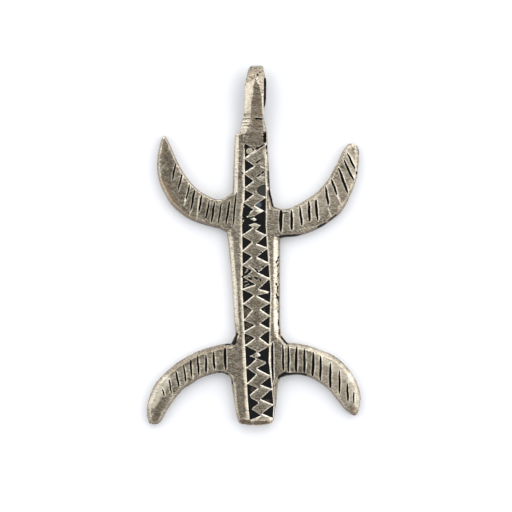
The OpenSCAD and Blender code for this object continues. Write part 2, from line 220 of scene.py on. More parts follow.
@dataclass(frozen=True)
class WornSilver:
    """Coin silver, hammered, filed and rubbed by wear.

    Rubbed edges and painted highlights are pale and cream, near white where strongest, flat faces
    carry a mottled olive-brown tarnish with fine diagonal file scratches, and black dirt fills the
    cuts. Painted shade on steep sides and on sides that face the tail is deep tarnish, partly black.
    """

    name: str = "worn_coin_silver"
    # near white of the strongest rubbed places and painted highlights
    bright: str = "#FBF6EA"
    # cream of rubbed places and of painted highlights
    rubbed_and_highlight: str = "#E9DFCB"
    clean: str = "#E0D7C1"
    tarnished: str = "#776F5E"
    warm: str = "#BDA286"
    cool: str = "#99998A"
    # deep tarnish, also the colour of painted shade on steep sides and on sides that face the tail
    deep_tarnish_and_shade: str = "#6B5C4D"
    # black of dirt in cuts and corners, also of painted shade on sides that face the tail
    dirt_and_shade: str = "#171618"
    # sizes in millimetres
    cloud: float = 2.4
    mottle: float = 0.34
    grain: float = 0.22
    scratch_width: float = 0.22
    scratch_length: float = 2.2
    pit: float = 0.36
    warm_patch: float = 1.3
    cool_patch: float = 1.9
    bump_height: float = 0.085
    # angles between X and the scratches that rise, fall and run level, and the grain, in degrees
    rising: float = 47
    falling: float = -28
    level: float = 4
    grain_turn: float = -12
    roughness: float = 0.22
    # noise at which pits, warm and cool patches, tarnish, level scratches and dirt set in and are full
    pitted: Pair = (0.63, 0.72)
    warmed: Pair = (0.45, 0.65)
    cooled: Pair = (0.5, 0.65)
    tarnishing: Pair = (0.42, 0.58)
    scratched: Pair = (0.52, 0.64)
    blackened: Pair = (0.45, 0.67)
    # flecks of other colours: pattern, noise at which it sets in and is full, share and colour
    flecks: tuple[tuple[str, float, float, float, str], ...] = (
        ("rising", 0.52, 0.64, 0.7, "rubbed_and_highlight"),
        ("falling", 0.53, 0.64, 0.75, "deep_tarnish_and_shade"),
        ("grain", 0.53, 0.68, 0.7, "rubbed_and_highlight"),
        ("grain", 0.49, 0.34, 0.9, "deep_tarnish_and_shade"),
    )

    def material(self) -> bpy.types.Material:
        """Makes the material, which reads what is painted on the body's vertices.

        Returns:
            The finished material.
        """
        s = Shading(self.name)
        dirt_and_shade, rubbed_and_highlight, dull_and_shade, polish = (s.painted(name) for name in ("dirt_and_shade", "rubbed_and_highlight", "dull_and_shade", "polish"))
        clouds, mottle = s.noise(self.cloud), s.noise(self.mottle, 6.0)
        pits = s.step(s.noise(self.pit, 3.0), *self.pitted)
        patterns = {
            "rising": s.scratches(self.rising, self.scratch_width, self.scratch_length),
            "falling": s.scratches(self.falling, self.scratch_width, self.scratch_length),
            "level": s.scratches(self.level, self.scratch_width, self.scratch_length / 2),
            "grain": s.scratches(self.grain_turn, self.grain, self.grain * 2.6),
        }
        rising, falling, level, grain = patterns.values()

        tarnish = s.step(s.add(clouds, 0.25, s.add(mottle, 0.5, s.add(rising, 0.25))), *self.tarnishing)
        colour = s.mix(tarnish, linear(self.clean), linear(self.tarnished))
        warmth = s.add(s.step(s.noise(self.warm_patch), *self.warmed), 0.5, s.add(s.painted("blush"), 0.7))
        colour = s.mix(warmth, colour, linear(self.warm))
        cold = s.add(s.step(s.noise(self.cool_patch), *self.cooled), 0.45)
        colour = s.mix(cold, colour, linear(self.cool))
        # polished places have hardly any scratches or pits
        rough = s.add(polish, -0.85, 1.0)
        for pattern, low, high, share, fleck in self.flecks:
            there = s.add(s.times(s.step(patterns[pattern], low, high), rough), share)
            colour = s.mix(there, colour, linear(getattr(self, fleck)))
        # dull places and painted shade take the deep tarnish colour
        colour = s.mix(dull_and_shade, colour, linear(self.deep_tarnish_and_shade))
        # rubbed places and painted highlights turn cream, and near white where they are strongest
        colour = s.mix(s.add(rubbed_and_highlight, 0.95), colour, linear(self.rubbed_and_highlight))
        colour = s.mix(s.step(rubbed_and_highlight, 0.7, 1.0), colour, linear(self.bright))
        across = s.add(s.times(s.step(level, *self.scratched), rough), 0.55)
        colour = s.mix(across, colour, linear(self.tarnished))
        colour = s.mix(s.add(s.times(pits, rough), 0.7), colour, linear(self.deep_tarnish_and_shade))
        # dirt, and painted shade on sides that face the tail, turn black
        black = s.step(s.add(mottle, 0.5, dirt_and_shade), *self.blackened)
        colour = s.mix(black, colour, linear(self.dirt_and_shade))

        s.set("Base Color", colour)
        s.set("Metallic", s.add(black, -0.9, 1.0))
        s.set("Specular IOR Level", s.add(black, -0.4, 0.5))
        rough = s.add(rubbed_and_highlight, 0.32, s.add(mottle, 0.16, self.roughness - 0.08))
        s.set("Roughness", s.add(black, 0.3, rough))
        relief = s.add(mottle, 0.3, s.add(grain, 0.2, s.add(pits, -0.2, 0.2)))
        relief = s.add(rising, 0.35, s.add(falling, 0.2, s.add(level, 0.25, relief)))
        s.bump(relief, self.bump_height, s.add(polish, -0.9, 1.0))
        return s.material


@dataclass(frozen=True)
class BlackFilling:
    """Niello, a black alloy of sulphides melted into the pockets: a little uneven, satin."""

    name: str = "niello_black"
    black: str = "#101011"
    residue: str = "#6B5E4C"
    # painted reflection on some fillings: grey where weak, blue-grey where strong
    grey_sheen: str = "#4A4A47"
    sheen: str = "#525F64"
    # sizes in millimetres
    grain: float = 0.35
    crumb: float = 0.2
    bump_height: float = 0.02
    # noise at which the residue sets in and is full
    patched: Pair = (0.45, 0.58)

    def material(self) -> bpy.types.Material:
        """Makes the material, which reads the attributes "residue" and "sheen".

        Returns:
            The finished material.
        """
        s = Shading(self.name)
        grain = s.noise(self.grain, 5.0)
        crumbs = s.add(s.noise(self.crumb, 2.0), 1.0, -0.25)
        patch = s.step(s.add(s.painted("residue"), 0.28, crumbs), *self.patched)
        # painted reflection, grey and then blue-grey as the sheen grows
        sheen = s.painted("sheen")
        colour = s.mix(s.step(sheen, 0.5, 0.7), linear(self.grey_sheen), linear(self.sheen))
        colour = s.mix(sheen, linear(self.black), colour)
        s.set("Base Color", s.mix(patch, colour, linear(self.residue)))
        s.set("Roughness", s.add(patch, 0.4, s.add(grain, 0.3, 0.15)))
        s.set("Specular IOR Level", 0.2)
        s.bump(grain, self.bump_height)
        return s.material


@dataclass(frozen=True)
class Paper:
    """Matt white background paper."""

    name: str = "white_paper"
    white: str = "#F5F6F8"

    def material(self) -> bpy.types.Material:
        """Makes the material.

        Returns:
            The finished material.
        """
        s = Shading(self.name)
        s.set("Base Color", linear(self.white))
        s.set("Roughness", 0.9)
        s.set("Specular IOR Level", 0.1)
        return s.material


# The bench


class Bench:
    """Moves that every piece is made with."""

    @staticmethod
    def clear() -> None:
        """Leaves edit mode and deselects everything."""
        if bpy.context.object and bpy.context.object.mode != "OBJECT":
            bpy.ops.object.mode_set(mode="OBJECT")
        bpy.ops.object.select_all(action="DESELECT")

    @staticmethod
    def pick(*pieces: bpy.types.Object) -> None:
        """Selects these pieces alone; the last one is active."""
        Bench.clear()
        for piece in pieces:
            piece.select_set(True)
        bpy.context.view_layer.objects.active = pieces[-1]

    @staticmethod
    def edit(piece: bpy.types.Object) -> None:
        """Opens a piece in edit mode with all of it selected.

        Args:
            piece: The object.
        """
        Bench.pick(piece)
        bpy.ops.object.mode_set(mode="EDIT")
        bpy.ops.mesh.select_all(action="SELECT")

    @staticmethod
    def close() -> None:
        """Leaves edit mode."""
        bpy.ops.object.mode_set(mode="OBJECT")

    @staticmethod
    def finish_with(piece: bpy.types.Object, kind: str, **settings: Any) -> None:
        """Adds a modifier and applies it.

        Args:
            piece: Object that gets it.
            kind: Blender's name for the modifier.
            **settings: The modifier's own properties.
        """
        modifier = piece.modifiers.new(kind.lower(), kind)
        for name, value in settings.items():
            setattr(modifier, name, value)
        Bench.pick(piece)
        bpy.ops.object.modifier_apply(modifier=modifier.name)

    @staticmethod
    def join(pieces: list[bpy.types.Object]) -> bpy.types.Object:
        """Joins pieces.

        Args:
            pieces: The objects, at least one.

        Returns:
            The last of them, which now holds all.
        """
        Bench.pick(*pieces)
        if len(pieces) > 1:
            bpy.ops.object.join()
        return pieces[-1]

    @staticmethod
    def cut(piece: bpy.types.Object, cutters: list[bpy.types.Object]) -> None:
        """Takes cutters out of a piece and throws them away.

        Args:
            piece: Object that is cut.
            cutters: Closed solids that don't touch each other.
        """
        cutter = Bench.join(cutters)
        Bench.finish_with(piece, "BOOLEAN", operation="DIFFERENCE", solver="MANIFOLD", object=cutter)
        bpy.data.objects.remove(cutter)

    @staticmethod
    def copy_of_node(node: bpy.types.Object, name: str) -> bpy.types.Object:
        """Copies a CAD node's mesh in millimetres and merges its doubles.

        Args:
            node: The CAD node's object.
            name: Name of the copy.

        Returns:
            The copy, with no material.
        """
        mesh = node.data.copy()
        mesh.materials.clear()
        piece = bpy.data.objects.new(name, mesh)
        bpy.context.scene.collection.objects.link(piece)
        Bench.edit(piece)
        bpy.ops.transform.resize(value=(1 / MM,) * 3, center_override=(0, 0, 0))
        bpy.ops.mesh.remove_doubles(threshold=0.0001)
        Bench.close()
        return piece

    @staticmethod
    def bar(corners: list[tuple[Point, Point]]) -> bpy.types.Object:
        """Models a bar with three or more long edges and moves its corners into place.

        Args:
            corners: Near and far end of each of its long edges.

        Returns:
            The bar, facing outwards.
        """
        Bench.clear()
        bpy.ops.mesh.primitive_cylinder_add(vertices=len(corners), radius=1, depth=1, location=(0, 0, 0))
        bar = bpy.context.object
        for i, vertex in enumerate(bar.data.vertices):
            vertex.co = corners[i // 2][i % 2]
        Bench.edit(bar)
        bpy.ops.mesh.normals_make_consistent(inside=False)
        Bench.close()
        return bar

    @staticmethod
    def prism(outline: Any, low: float, high: float) -> bpy.types.Object:
        """Models an upright bar on an outline, between two heights."""
        return Bench.bar([((*corner, low), (*corner, high)) for corner in outline])

    @staticmethod
    def stump(place: Point, radii: tuple[float, float], height: float, turn: float) -> bpy.types.Object:
        """Models an upright oval stump with a rounded rim.

        Args:
            place: Middle of its top.
            radii: Its two radii.
            height: Its height.
            turn: Angle between the first radius and X, in degrees.

        Returns:
            The stump.
        """
        Bench.clear()
        bpy.ops.mesh.primitive_cylinder_add(
            vertices=20,
            radius=1,
            depth=1,
            location=(place[0], place[1], place[2] - height / 2),
            rotation=(0, 0, math.radians(turn)),
            scale=(*radii, height),
        )
        bpy.ops.object.transform_apply(location=True, rotation=True, scale=True)
        stump = bpy.context.object
        rim = {"width": 0.07, "segments": 2, "limit_method": "ANGLE", "angle_limit": 1.0}
        Bench.finish_with(stump, "BEVEL", **rim)
        return stump

    @staticmethod
    def to_metres(piece: bpy.types.Object, crease: float) -> None:
        """Brings a finished piece to metres, in its mesh, and shades it smooth.

        Args:
            piece: The object, in millimetres.
            crease: Angle in degrees over which an edge stays sharp.
        """
        Bench.edit(piece)
        bpy.ops.transform.resize(value=(MM,) * 3, center_override=(0, 0, 0))
        Bench.close()
        bpy.ops.object.shade_smooth_by_angle(angle=math.radians(crease))

    @staticmethod
    def dress(piece: bpy.types.Object, material: bpy.types.Material) -> None:
        """Gives a piece one material and drops the empty slots that cutting left."""
        piece.data.materials.clear()
        piece.data.materials.append(material)

    @staticmethod
    def triangles(piece: bpy.types.Object) -> int:
        """Counts a piece's triangles."""
        return sum(len(face.vertices) - 2 for face in piece.data.polygons)


def read_rows(items: Any, name: str, columns: int, kind: type) -> np.ndarray:
    """Reads a property of all vertices or edges of a mesh at once.

    Args:
        items: The mesh's vertices or edges.
        name: Blender's name for the property.
        columns: How many numbers it has.
        kind: Their type.

    Returns:
        One row for each item.
    """
    flat = np.zeros(len(items) * columns, kind)
    items.foreach_get(name, flat)
    return flat.reshape(-1, columns)


def points_of(piece: bpy.types.Object) -> np.ndarray:
    """Gives the places of a mesh's vertices, one row each."""
    return read_rows(piece.data.vertices, "co", 3, np.float32).astype(float)


def normals_of(piece: bpy.types.Object) -> np.ndarray:
    """Gives the normals at a mesh's vertices, one row each."""
    return read_rows(piece.data.vertices, "normal", 3, np.float32).astype(float)


def edges_of(piece: bpy.types.Object) -> np.ndarray:
    """Gives the two vertex numbers of each edge, one row each."""
    return read_rows(piece.data.edges, "vertices", 2, np.int32)


def soft_step(value: np.ndarray, low: float, high: float) -> np.ndarray:
    """Gives 0 below low and 1 above high, with a smooth rise between."""
    share = np.clip((value - low) / (high - low), 0, 1)
    return share * share * (3 - 2 * share)


def soft_stretch(value: np.ndarray, rise: Pair, fall: Pair) -> np.ndarray:
    """Gives 1 on a stretch that begins with a smooth rise and ends with a smooth fall."""
    return soft_step(value, *rise) * (1 - soft_step(value, *fall))


def spread(piece: bpy.types.Object, value: np.ndarray, rounds: int) -> np.ndarray:
    """Evens out a value over a mesh by taking each vertex halfway to its neighbours.

    Args:
        piece: The mesh.
        value: One value per vertex.
        rounds: How many times it is evened out.

    Returns:
        The new values.
    """
    ends = edges_of(piece)
    a, b = ends[:, 0], ends[:, 1]
    count = np.maximum(np.bincount(ends.ravel(), minlength=len(value)), 1)
    for _ in range(rounds):
        total = np.bincount(a, value[b], len(value)) + np.bincount(b, value[a], len(value))
        value = (value + total / count) / 2
    return value


def bend_at(piece: bpy.types.Object) -> np.ndarray:
    """Gives how sharply the surface bends.

    Args:
        piece: The mesh.

    Returns:
        A value per vertex, above 0 on ridges and below 0 in grooves.
    """
    points, normals, ends = points_of(piece), normals_of(piece), edges_of(piece)
    a, b = ends[:, 0], ends[:, 1]
    step = points[b] - points[a]
    square = np.maximum(np.einsum("ij,ij->i", step, step), 1e-12)
    fall_a = -np.einsum("ij,ij->i", step, normals[a]) / square
    fall_b = np.einsum("ij,ij->i", step, normals[b]) / square
    total = np.bincount(a, fall_a, len(points)) + np.bincount(b, fall_b, len(points))
    return total / np.maximum(np.bincount(ends.ravel(), minlength=len(points)), 1)


def paint(piece: bpy.types.Object, name: str, value: np.ndarray) -> None:
    """Stores a value per vertex as an attribute that a material reads."""
    layer = piece.data.attributes.new(name, "FLOAT", "POINT")
    layer.data.foreach_set("value", np.clip(value, 0, 1).astype(np.float32))


def push(piece: bpy.types.Object, height: np.ndarray, level_at: float = 0.0, **settings: Any) -> None:
    """Moves a mesh's vertices out or in by their own distances, which it sorts into 50 steps.

    Args:
        piece: The mesh.
        height: Distance of each vertex, below 0 for inwards.
        level_at: Value of the modifier's texture, if it has one, that moves nothing.
        **settings: Further properties of the modifier that moves them.
    """
    steps, least = 50, 0.0001
    for sign in (1, -1):
        most = float((height * sign).max())
        if most < least:
            continue
        level = np.round(np.clip(height * sign / most, 0, 1) * steps).astype(int)
        group = piece.vertex_groups.new(name="push")
        for step in range(1, steps + 1):
            members = np.nonzero(level == step)[0]
            if len(members):
                group.add(members.tolist(), step / steps, "REPLACE")
        moved = {"strength": sign * most, "mid_level": level_at, "vertex_group": group.name, **settings}
        Bench.finish_with(piece, "DISPLACE", **moved)
        piece.vertex_groups.clear()


@dataclass(frozen=True)
class Pocket:
    """A triangular pocket of the band: upper end, lower end and tip of its outline."""

    # how much further the pockets reach towards their border than in the solid, below and above
    # a stretch of the body
    WIDER: ClassVar[dict[Side, Pair]] = {Side.LEFT: (0.12, 0.05), Side.RIGHT: (0.17, 0.14)}
    STRETCH: ClassVar[Pair] = (8, 12)
    # share of an edge's length from which and up to which things lie beside it
    BESIDE: ClassVar[Pair] = (-0.02, 1.05)

    side: Side
    corners: np.ndarray

    def grown(self, by: float) -> np.ndarray:
        """Gives its corners with all three sides moved outwards.

        Args:
            by: How far they are moved.

        Returns:
            The three corners, one row each.
        """
        c = self.corners
        sides = np.array([np.linalg.norm(c[(k + 1) % 3] - c[(k + 2) % 3]) for k in range(3)])
        middle = sides @ c / sides.sum()
        (ax, ay), (bx, by_) = c[1] - c[0], c[2] - c[0]
        radius = abs(ax * by_ - ay * bx) / sides.sum()
        return middle + (c - middle) * (radius + by) / radius

    def edge(self, edge: Edge, by: float = 0.0) -> tuple[np.ndarray, np.ndarray, np.ndarray]:
        """Gives one edge of the outline.

        Args:
            edge: Which of the three.
            by: How far the outline is grown first.

        Returns:
            The edge's two ends and the direction straight away from the pocket.
        """
        corners = self.grown(by)
        start, end, other = corners[list(edge.value)]
        run = (end - start) / np.linalg.norm(end - start)
        out = np.array([-run[1], run[0]])
        return start, end, out if np.dot(out, other - start) < 0 else -out

    def outside(self, edge: Edge, width: float, points: np.ndarray, fade: float = 0.12) -> np.ndarray:
        """Gives which points lie beside an edge, outside the pocket.

        Args:
            edge: The edge.
            width: How far from it they may lie.
            points: The points.
            fade: Distance beyond that width over which the value falls to 0.

        Returns:
            A value from 0 to 1 for each point.
        """
        start, end, out = self.edge(edge)
        along = (points[:, :2] - start) @ (end - start) / ((end - start) @ (end - start))
        away = (points[:, :2] - start) @ out
        there = (away > 0) * (along > self.BESIDE[0]) * (along < self.BESIDE[1])
        return (1 - soft_step(away, width, width + fade)) * there

    @staticmethod
    def all_from(filling: bpy.types.Object) -> "list[Pocket]":
        """Finds the pockets' corners from their fillings, from the head to the tail.

        Args:
            filling: The CAD node of all fillings.

        Returns:
            The outlines of the fillings.
        """
        copy = Bench.copy_of_node(filling, "pocket_corners")
        Bench.edit(copy)
        bpy.ops.mesh.separate(type="LOOSE")
        Bench.close()
        found = []
        for part in list(bpy.context.selected_objects):
            points = points_of(part)
            top = points[points[:, 2] > points[:, 2].mean()][:, :2]
            if len(top) == 3:
                gaps = [abs(top[(k + 1) % 3][0] - top[(k + 2) % 3][0]) for k in range(3)]
                tip = int(np.argmin(gaps))
                ends = sorted((top[(tip + 1) % 3], top[(tip + 2) % 3]), key=lambda p: -p[1])
                side = Side.LEFT if top[tip][0] > ends[0][0] else Side.RIGHT
                for end in ends:
                    end[0] += side.value * float(np.interp(end[1], Pocket.STRETCH, Pocket.WIDER[side]))
                found.append(Pocket(side, np.array([ends[0], ends[1], top[tip]])))
            bpy.data.objects.remove(part)
        return sorted(found, key=lambda pocket: -pocket.corners[0][1])


@dataclass
class Relief:
    """The face seen from above as a grid of heights, with its narrow cuts closed over."""

    cell: float = 0.125
    widest_cut: float = 2.0
    margin: float = 3.0
    # least height of a cell inside the outline, and how many cells inwards it is measured
    least_height: float = 0.6
    rings: int = 20
    corner: np.ndarray = field(init=False)
    ground: np.ndarray = field(init=False)
    closed: np.ndarray = field(init=False)
    inside: np.ndarray = field(init=False)

    def survey(self, points: np.ndarray) -> None:
        """Reads the heights from a dense mesh, and how far inside its outline each cell is.

        Args:
            points: The mesh's vertices.
        """
        self.corner = points[:, :2].min(0) - self.margin
        size = np.ceil((points[:, :2].max(0) + self.margin - self.corner) / self.cell).astype(int)
        self.ground = np.zeros(size)
        at = self.cells(points[:, :2])
        np.maximum.at(self.ground, (at[:, 0], at[:, 1]), points[:, 2])
        self.ground = -self.grown(-self.grown(self.ground, 1), 1)
        reach = round(self.widest_cut / 2 / self.cell)
        self.closed = -self.grown(-self.grown(self.ground, reach), reach)
        left = (self.closed > self.least_height).astype(float)
        self.inside = np.zeros(size)
        for ring in range(self.rings):
            self.inside += left * self.cell
            left = -self.grown(-left, 1, square=ring % 3 == 0)

    def cells(self, places: np.ndarray) -> np.ndarray:
        """Gives the grid cell of each place in the plane."""
        at = np.round((places - self.corner) / self.cell).astype(int)
        return np.clip(at, 0, np.array(self.ground.shape) - 1)

    def read(self, grid: np.ndarray, places: np.ndarray) -> np.ndarray:
        """Reads a grid at places in the plane."""
        at = self.cells(places)
        return grid[at[:, 0], at[:, 1]]

    @staticmethod
    def grown(grid: np.ndarray, reach: int, square: bool = False) -> np.ndarray:
        """Gives the greatest value round each cell.

        Args:
            grid: The grid.
            reach: How many cells away it is looked for.
            square: Whether the reach is square and not round.

        Returns:
            The new grid.
        """
        out = grid.copy()
        limit = 2 * reach * reach if square else reach * (reach + 1) if reach > 1 else 1
        for dx in range(-reach, reach + 1):
            for dy in range(-reach, reach + 1):
                if 0 < dx * dx + dy * dy <= limit:
                    out = np.maximum(out, np.roll(grid, (dx, dy), (0, 1)))
        return out

    def depth(self, points: np.ndarray, normals: np.ndarray, ahead: float) -> np.ndarray:
        """Gives how deep each vertex lies in a cut.

        Args:
            points: The vertices.
            normals: Their normals.
            ahead: Distance in front of a wall at which the closed height is read.

        Returns:
            Depth below the closed face, 0 on outer sides.
        """
        return np.maximum(self.read(self.closed, points[:, :2] + normals[:, :2] * ahead) - points[:, 2], 0)


# Marks on the face


@dataclass(frozen=True)
class Stroke:
    """One stroke of the graver: a boat-shaped cut, widest off its middle and a little crooked."""

    x1: float
    y1: float
    x2: float
    y2: float
    width: float
    depth: float = 0.5
    lean: float = 0.25
    wobble: float = 0.04
    over_end: float = 0.15
    burr: float = 1.0

    def half_width(self, along: np.ndarray) -> np.ndarray:
        """Gives half of the width at places from -1 at the start to 1 at the end."""
        t = (np.sqrt(np.maximum(1 + 4 * self.lean * (self.lean + along), 0)) - 1) / (2 * self.lean)
        return self.width / 2 * np.sqrt(np.clip(1 - np.abs(t) ** 3, 0, 1))

    def crook(self, along: np.ndarray) -> np.ndarray:
        """Gives how far the middle line strays sideways, in a long and a short wave."""
        turn = 5 * self.x1 + self.y1
        return self.wobble * (np.sin(2.6 * along + turn) + 0.5 * np.sin(7 * along + 3 * turn))

    def frame(self) -> tuple[np.ndarray, np.ndarray, np.ndarray, float]:
        """Gives where the stroke lies.

        Returns:
            Its middle, its direction, the direction to its left and half its length.
        """
        a, b = np.array([self.x1, self.y1]), np.array([self.x2, self.y2])
        run = (b - a) / np.linalg.norm(b - a)
        half = np.linalg.norm(b - a) / 2 + self.width * self.over_end
        return (a + b) / 2, run, np.array([-run[1], run[0]]), half

    def cutter(self, top: float) -> bpy.types.Object:
        """Models the solid that the stroke takes out of a face.

        Args:
            top: Height of the face.

        Returns:
            The solid, a ball drawn out into a boat with blunt ends.
        """
        middle, run, aside, half = self.frame()
        blunt = 0.3
        Bench.clear()
        bpy.ops.mesh.primitive_uv_sphere_add(segments=20, ring_count=10, radius=1, location=(0, 0, 0))
        boat = bpy.context.object
        for vertex in boat.data.vertices:
            t = vertex.co.x * (1 + blunt * (1 - vertex.co.x**2))
            s = t - self.lean * (1 - t * t)
            across = vertex.co.y * self.width / 2 + float(self.crook(np.array(s)))
            place = middle + run * s * half + aside * across
            vertex.co = (place[0], place[1], top + vertex.co.z * self.depth)
        return boat

    def beside(self, points: np.ndarray) -> tuple[np.ndarray, np.ndarray]:
        """Gives how points lie to the stroke.

        Args:
            points: The points.

        Returns:
            Their distances from its rim, below 0 inside it, and 1 or -1 for left or right of it.
        """
        middle, run, aside, half = self.frame()
        off = points[:, :2] - middle
        s, across = off @ run / half, off @ aside
        near = np.clip(s, -1, 1)
        across = across - self.crook(near)
        past = np.maximum(np.abs(s) - 1, 0) * half
        beyond = np.abs(across) - self.half_width(near)
        away = np.hypot(np.maximum(beyond, 0), past)
        inside = (past == 0) & (away == 0)
        return np.where(inside, beyond, away), np.where(across * aside[0] > 0, 1.0, -1.0)


@dataclass(frozen=True, kw_only=True)
class Mark:
    """What a file, wear or dirt left at a place, and painted highlight and shade: a lift in millimetres
    and shares of finishes.
    """

    lift: float = 0.0
    rubbed_and_highlight: float = 0.0
    dull_and_shade: float = 0.0
    dirt_and_shade: float = 0.0
    blush: float = 0.0
    polish: float = 0.0

    def share(self, points: np.ndarray) -> np.ndarray:
        """Gives how much of the mark each point gets, from 0 to 1; each kind of mark has its own."""
        raise NotImplementedError


@dataclass(frozen=True)
class Zone(Mark):
    """A mark that fills a convex outline with rather crisp edges."""

    EDGE: ClassVar[float] = 0.07

    corners: tuple[Pair, ...]

    def share(self, points: np.ndarray) -> np.ndarray:
        """Gives 1 inside the outline and 0 outside it.

        Args:
            points: The points.

        Returns:
            A value for each point.
        """
        corners = np.array(self.corners)
        inner = np.full(len(points), np.inf)
        for a, b in zip(corners, np.roll(corners, -1, 0)):
            across = np.array([a[1] - b[1], b[0] - a[0]]) / np.linalg.norm(b - a)
            across = across if across @ (corners.mean(0) - a) > 0 else -across
            inner = np.minimum(inner, (points[:, :2] - a) @ across)
        return soft_step(inner, -self.EDGE, self.EDGE)


@dataclass(frozen=True)
class Trace(Mark):
    """A soft-edged mark along a line of some width in millimetres."""

    # shares of the width, from the line, at which the mark starts to fade and has faded
    FADE: ClassVar[Pair] = (0.25, 0.6)

    x1: float
    y1: float
    x2: float
    y2: float
    width: float

    def share(self, points: np.ndarray) -> np.ndarray:
        """Gives 1 on the line, falling off to 0 beside it.

        Args:
            points: The points.

        Returns:
            A value for each point.
        """
        a, b = np.array([self.x1, self.y1]), np.array([self.x2, self.y2])
        run, off = b - a, points[:, :2] - a
        t = np.clip(off @ run / max(run @ run, 1e-9), 0, 1)
        away = np.linalg.norm(off - t[:, None] * run, axis=1)
        return 1 - soft_step(away, self.width * self.FADE[0], self.width * self.FADE[1])


# Cut lines across the limbs, by the body and at the arm's root, as in the solid, and how much
# of a burr stands at their rims
CUT_LINES = (
    # x1,    y1,    x2,    y2,  width, burr
    (-16.20, 17.20, -17.00, 13.65, 0.36, 0.6),
    (-15.00, 14.80, -15.80, 11.35, 0.34, 0.6),
    (-13.40, 12.70, -14.10, 9.50, 0.32, 0.6),
    (-12.30, 11.50, -13.20, 7.20, 0.42, 0.6),
    (-10.80, 10.50, -11.50, 7.00, 0.40, 0.6),
    (-9.20, 9.50, -10.00, 5.60, 0.36, 0.6),
    (-8.10, 9.10, -8.90, 4.80, 0.40, 0.6),
    (-6.70, 8.90, -7.50, 4.50, 0.34, 0.6),
    (-5.10, 9.20, -5.80, 4.20, 0.40, 0.6),
    (-3.60, 11.10, -4.40, 3.90, 0.34, 0.6),
    (5.65, 7.30, 5.65, 2.80, 0.60, 1.0),
    (7.80, 7.40, 7.95, 3.30, 0.48, 1.0),
    (9.60, 8.20, 10.00, 4.20, 0.42, 1.0),
    (11.40, 9.30, 11.70, 5.10, 0.48, 1.0),
    (12.90, 9.50, 13.30, 5.20, 0.48, 1.0),
    (15.00, 12.30, 15.50, 8.50, 0.42, 1.0),
    (16.20, 13.80, 17.30, 10.50, 0.40, 1.0),
    (17.60, 16.20, 19.60, 11.00, 0.46, 1.0),
    (18.80, 17.80, 20.80, 13.50, 0.40, 1.0),
    (19.40, 19.30, 21.10, 16.00, 0.38, 1.0),
    (-6.00, -21.40, -5.90, -26.00, 0.52, 0.85),
    (-8.40, -22.10, -8.20, -25.70, 0.42, 0.85),
    (-10.00, -22.80, -9.90, -26.50, 0.42, 0.85),
    (-11.70, -23.00, -11.50, -27.00, 0.38, 0.85),
    (-13.20, -23.90, -12.90, -27.60, 0.38, 0.85),
    (-14.70, -24.90, -14.10, -28.40, 0.34, 0.85),
    (-16.20, -26.20, -15.60, -29.50, 0.36, 0.85),
    (-17.70, -27.90, -17.10, -30.90, 0.28, 0.85),
    (-19.00, -29.90, -18.70, -31.40, 0.28, 0.85),
    (6.00, -20.60, 6.20, -26.10, 0.40, 0.85),
    (7.15, -20.80, 7.25, -26.40, 0.40, 0.85),
    (8.90, -21.10, 8.80, -26.40, 0.50, 0.85),
    (10.60, -21.50, 10.50, -26.60, 0.46, 0.85),
    (12.40, -22.20, 12.30, -27.20, 0.52, 0.85),
    (13.90, -23.00, 13.90, -28.20, 0.42, 0.85),
    (16.00, -24.50, 15.90, -29.70, 0.46, 0.85),
    (17.90, -26.00, 17.80, -30.90, 0.36, 0.85),
    (19.50, -28.70, 19.60, -32.40, 0.38, 0.85),
    (20.80, -30.60, 20.90, -33.00, 0.28, 0.85),
    (3.85, -20.30, 3.95, -28.70, 0.44, 1.0),
    (3.25, 12.00, 3.40, 10.20, 0.48, 0.3),
    (3.45, 10.30, 4.20, 8.10, 0.64, 0.3),
)

# Slips of the graver, cracks and nicks, with the height of the surface there
SLIPS = (
    # x1,   y1,    x2,   y2,  width, depth, top
    (-1.85, 21.05, 0.10, 19.88, 0.30, 0.35, 2.45),
    (2.38, 21.5, 2.35, 23.7, 0.46, 0.80, 2.55),
    (2.00, 23.30, 2.40, 23.28, 0.22, 0.50, 2.60),
    (1.95, 22.75, 2.40, 22.72, 0.24, 0.50, 2.60),
    (2.00, 22.20, 2.40, 22.20, 0.20, 0.50, 2.50),
    (1.95, 21.75, 2.40, 21.75, 0.22, 0.50, 2.50),
    (2.60, 20.1, 2.65, 20.95, 0.30, 0.40, 2.30),
    (2.75, 19.1, 2.75, 19.5, 0.26, 0.40, 2.20),
    (0.40, 20.0, 2.00, 20.95, 0.26, 0.50, 2.48),
    (-1.30, 5.72, 0.30, 5.98, 0.20, 0.50, 2.38),
    (0.45, 17.2, 1.30, 17.8, 0.22, 0.16, 2.38),
    (0.65, 14.35, 1.35, 14.85, 0.30, 0.16, 2.38),
    (1.60, 15.00, 2.10, 15.40, 0.26, 0.16, 2.38),
    (0.25, -4.85, 0.95, -5.60, 0.32, 0.20, 2.38),
    (1.65, -4.60, 2.15, -4.30, 0.20, 0.12, 2.38),
    (-1.15, -6.80, -0.45, -7.10, 0.34, 0.20, 2.38),
    (0.15, -6.60, 0.80, -7.00, 0.30, 0.20, 2.38),
    (1.20, -7.15, 1.55, -7.25, 0.28, 0.20, 2.38),
    (1.35, -1.55, 1.65, -1.35, 0.24, 0.14, 2.38),
    (-2.50, -6.45, -2.20, -6.45, 0.26, 0.30, 2.42),
    (3.15, -9.85, 3.45, -9.80, 0.24, 0.30, 2.42),
    (-0.05, -22.98, 0.15, -23.05, 0.20, 0.12, 2.38),
    (0.30, 26.4, 1.90, 26.3, 0.24, 0.35, 3.75),
    (3.15, 20.5, 3.20, 12.6, 0.16, 0.30, 2.30),
    (21.30, 15.3, 21.60, 14.9, 0.35, 0.50, 1.80),
    (6.10, 6.85, 7.10, 6.85, 0.22, 0.14, 2.50),
)

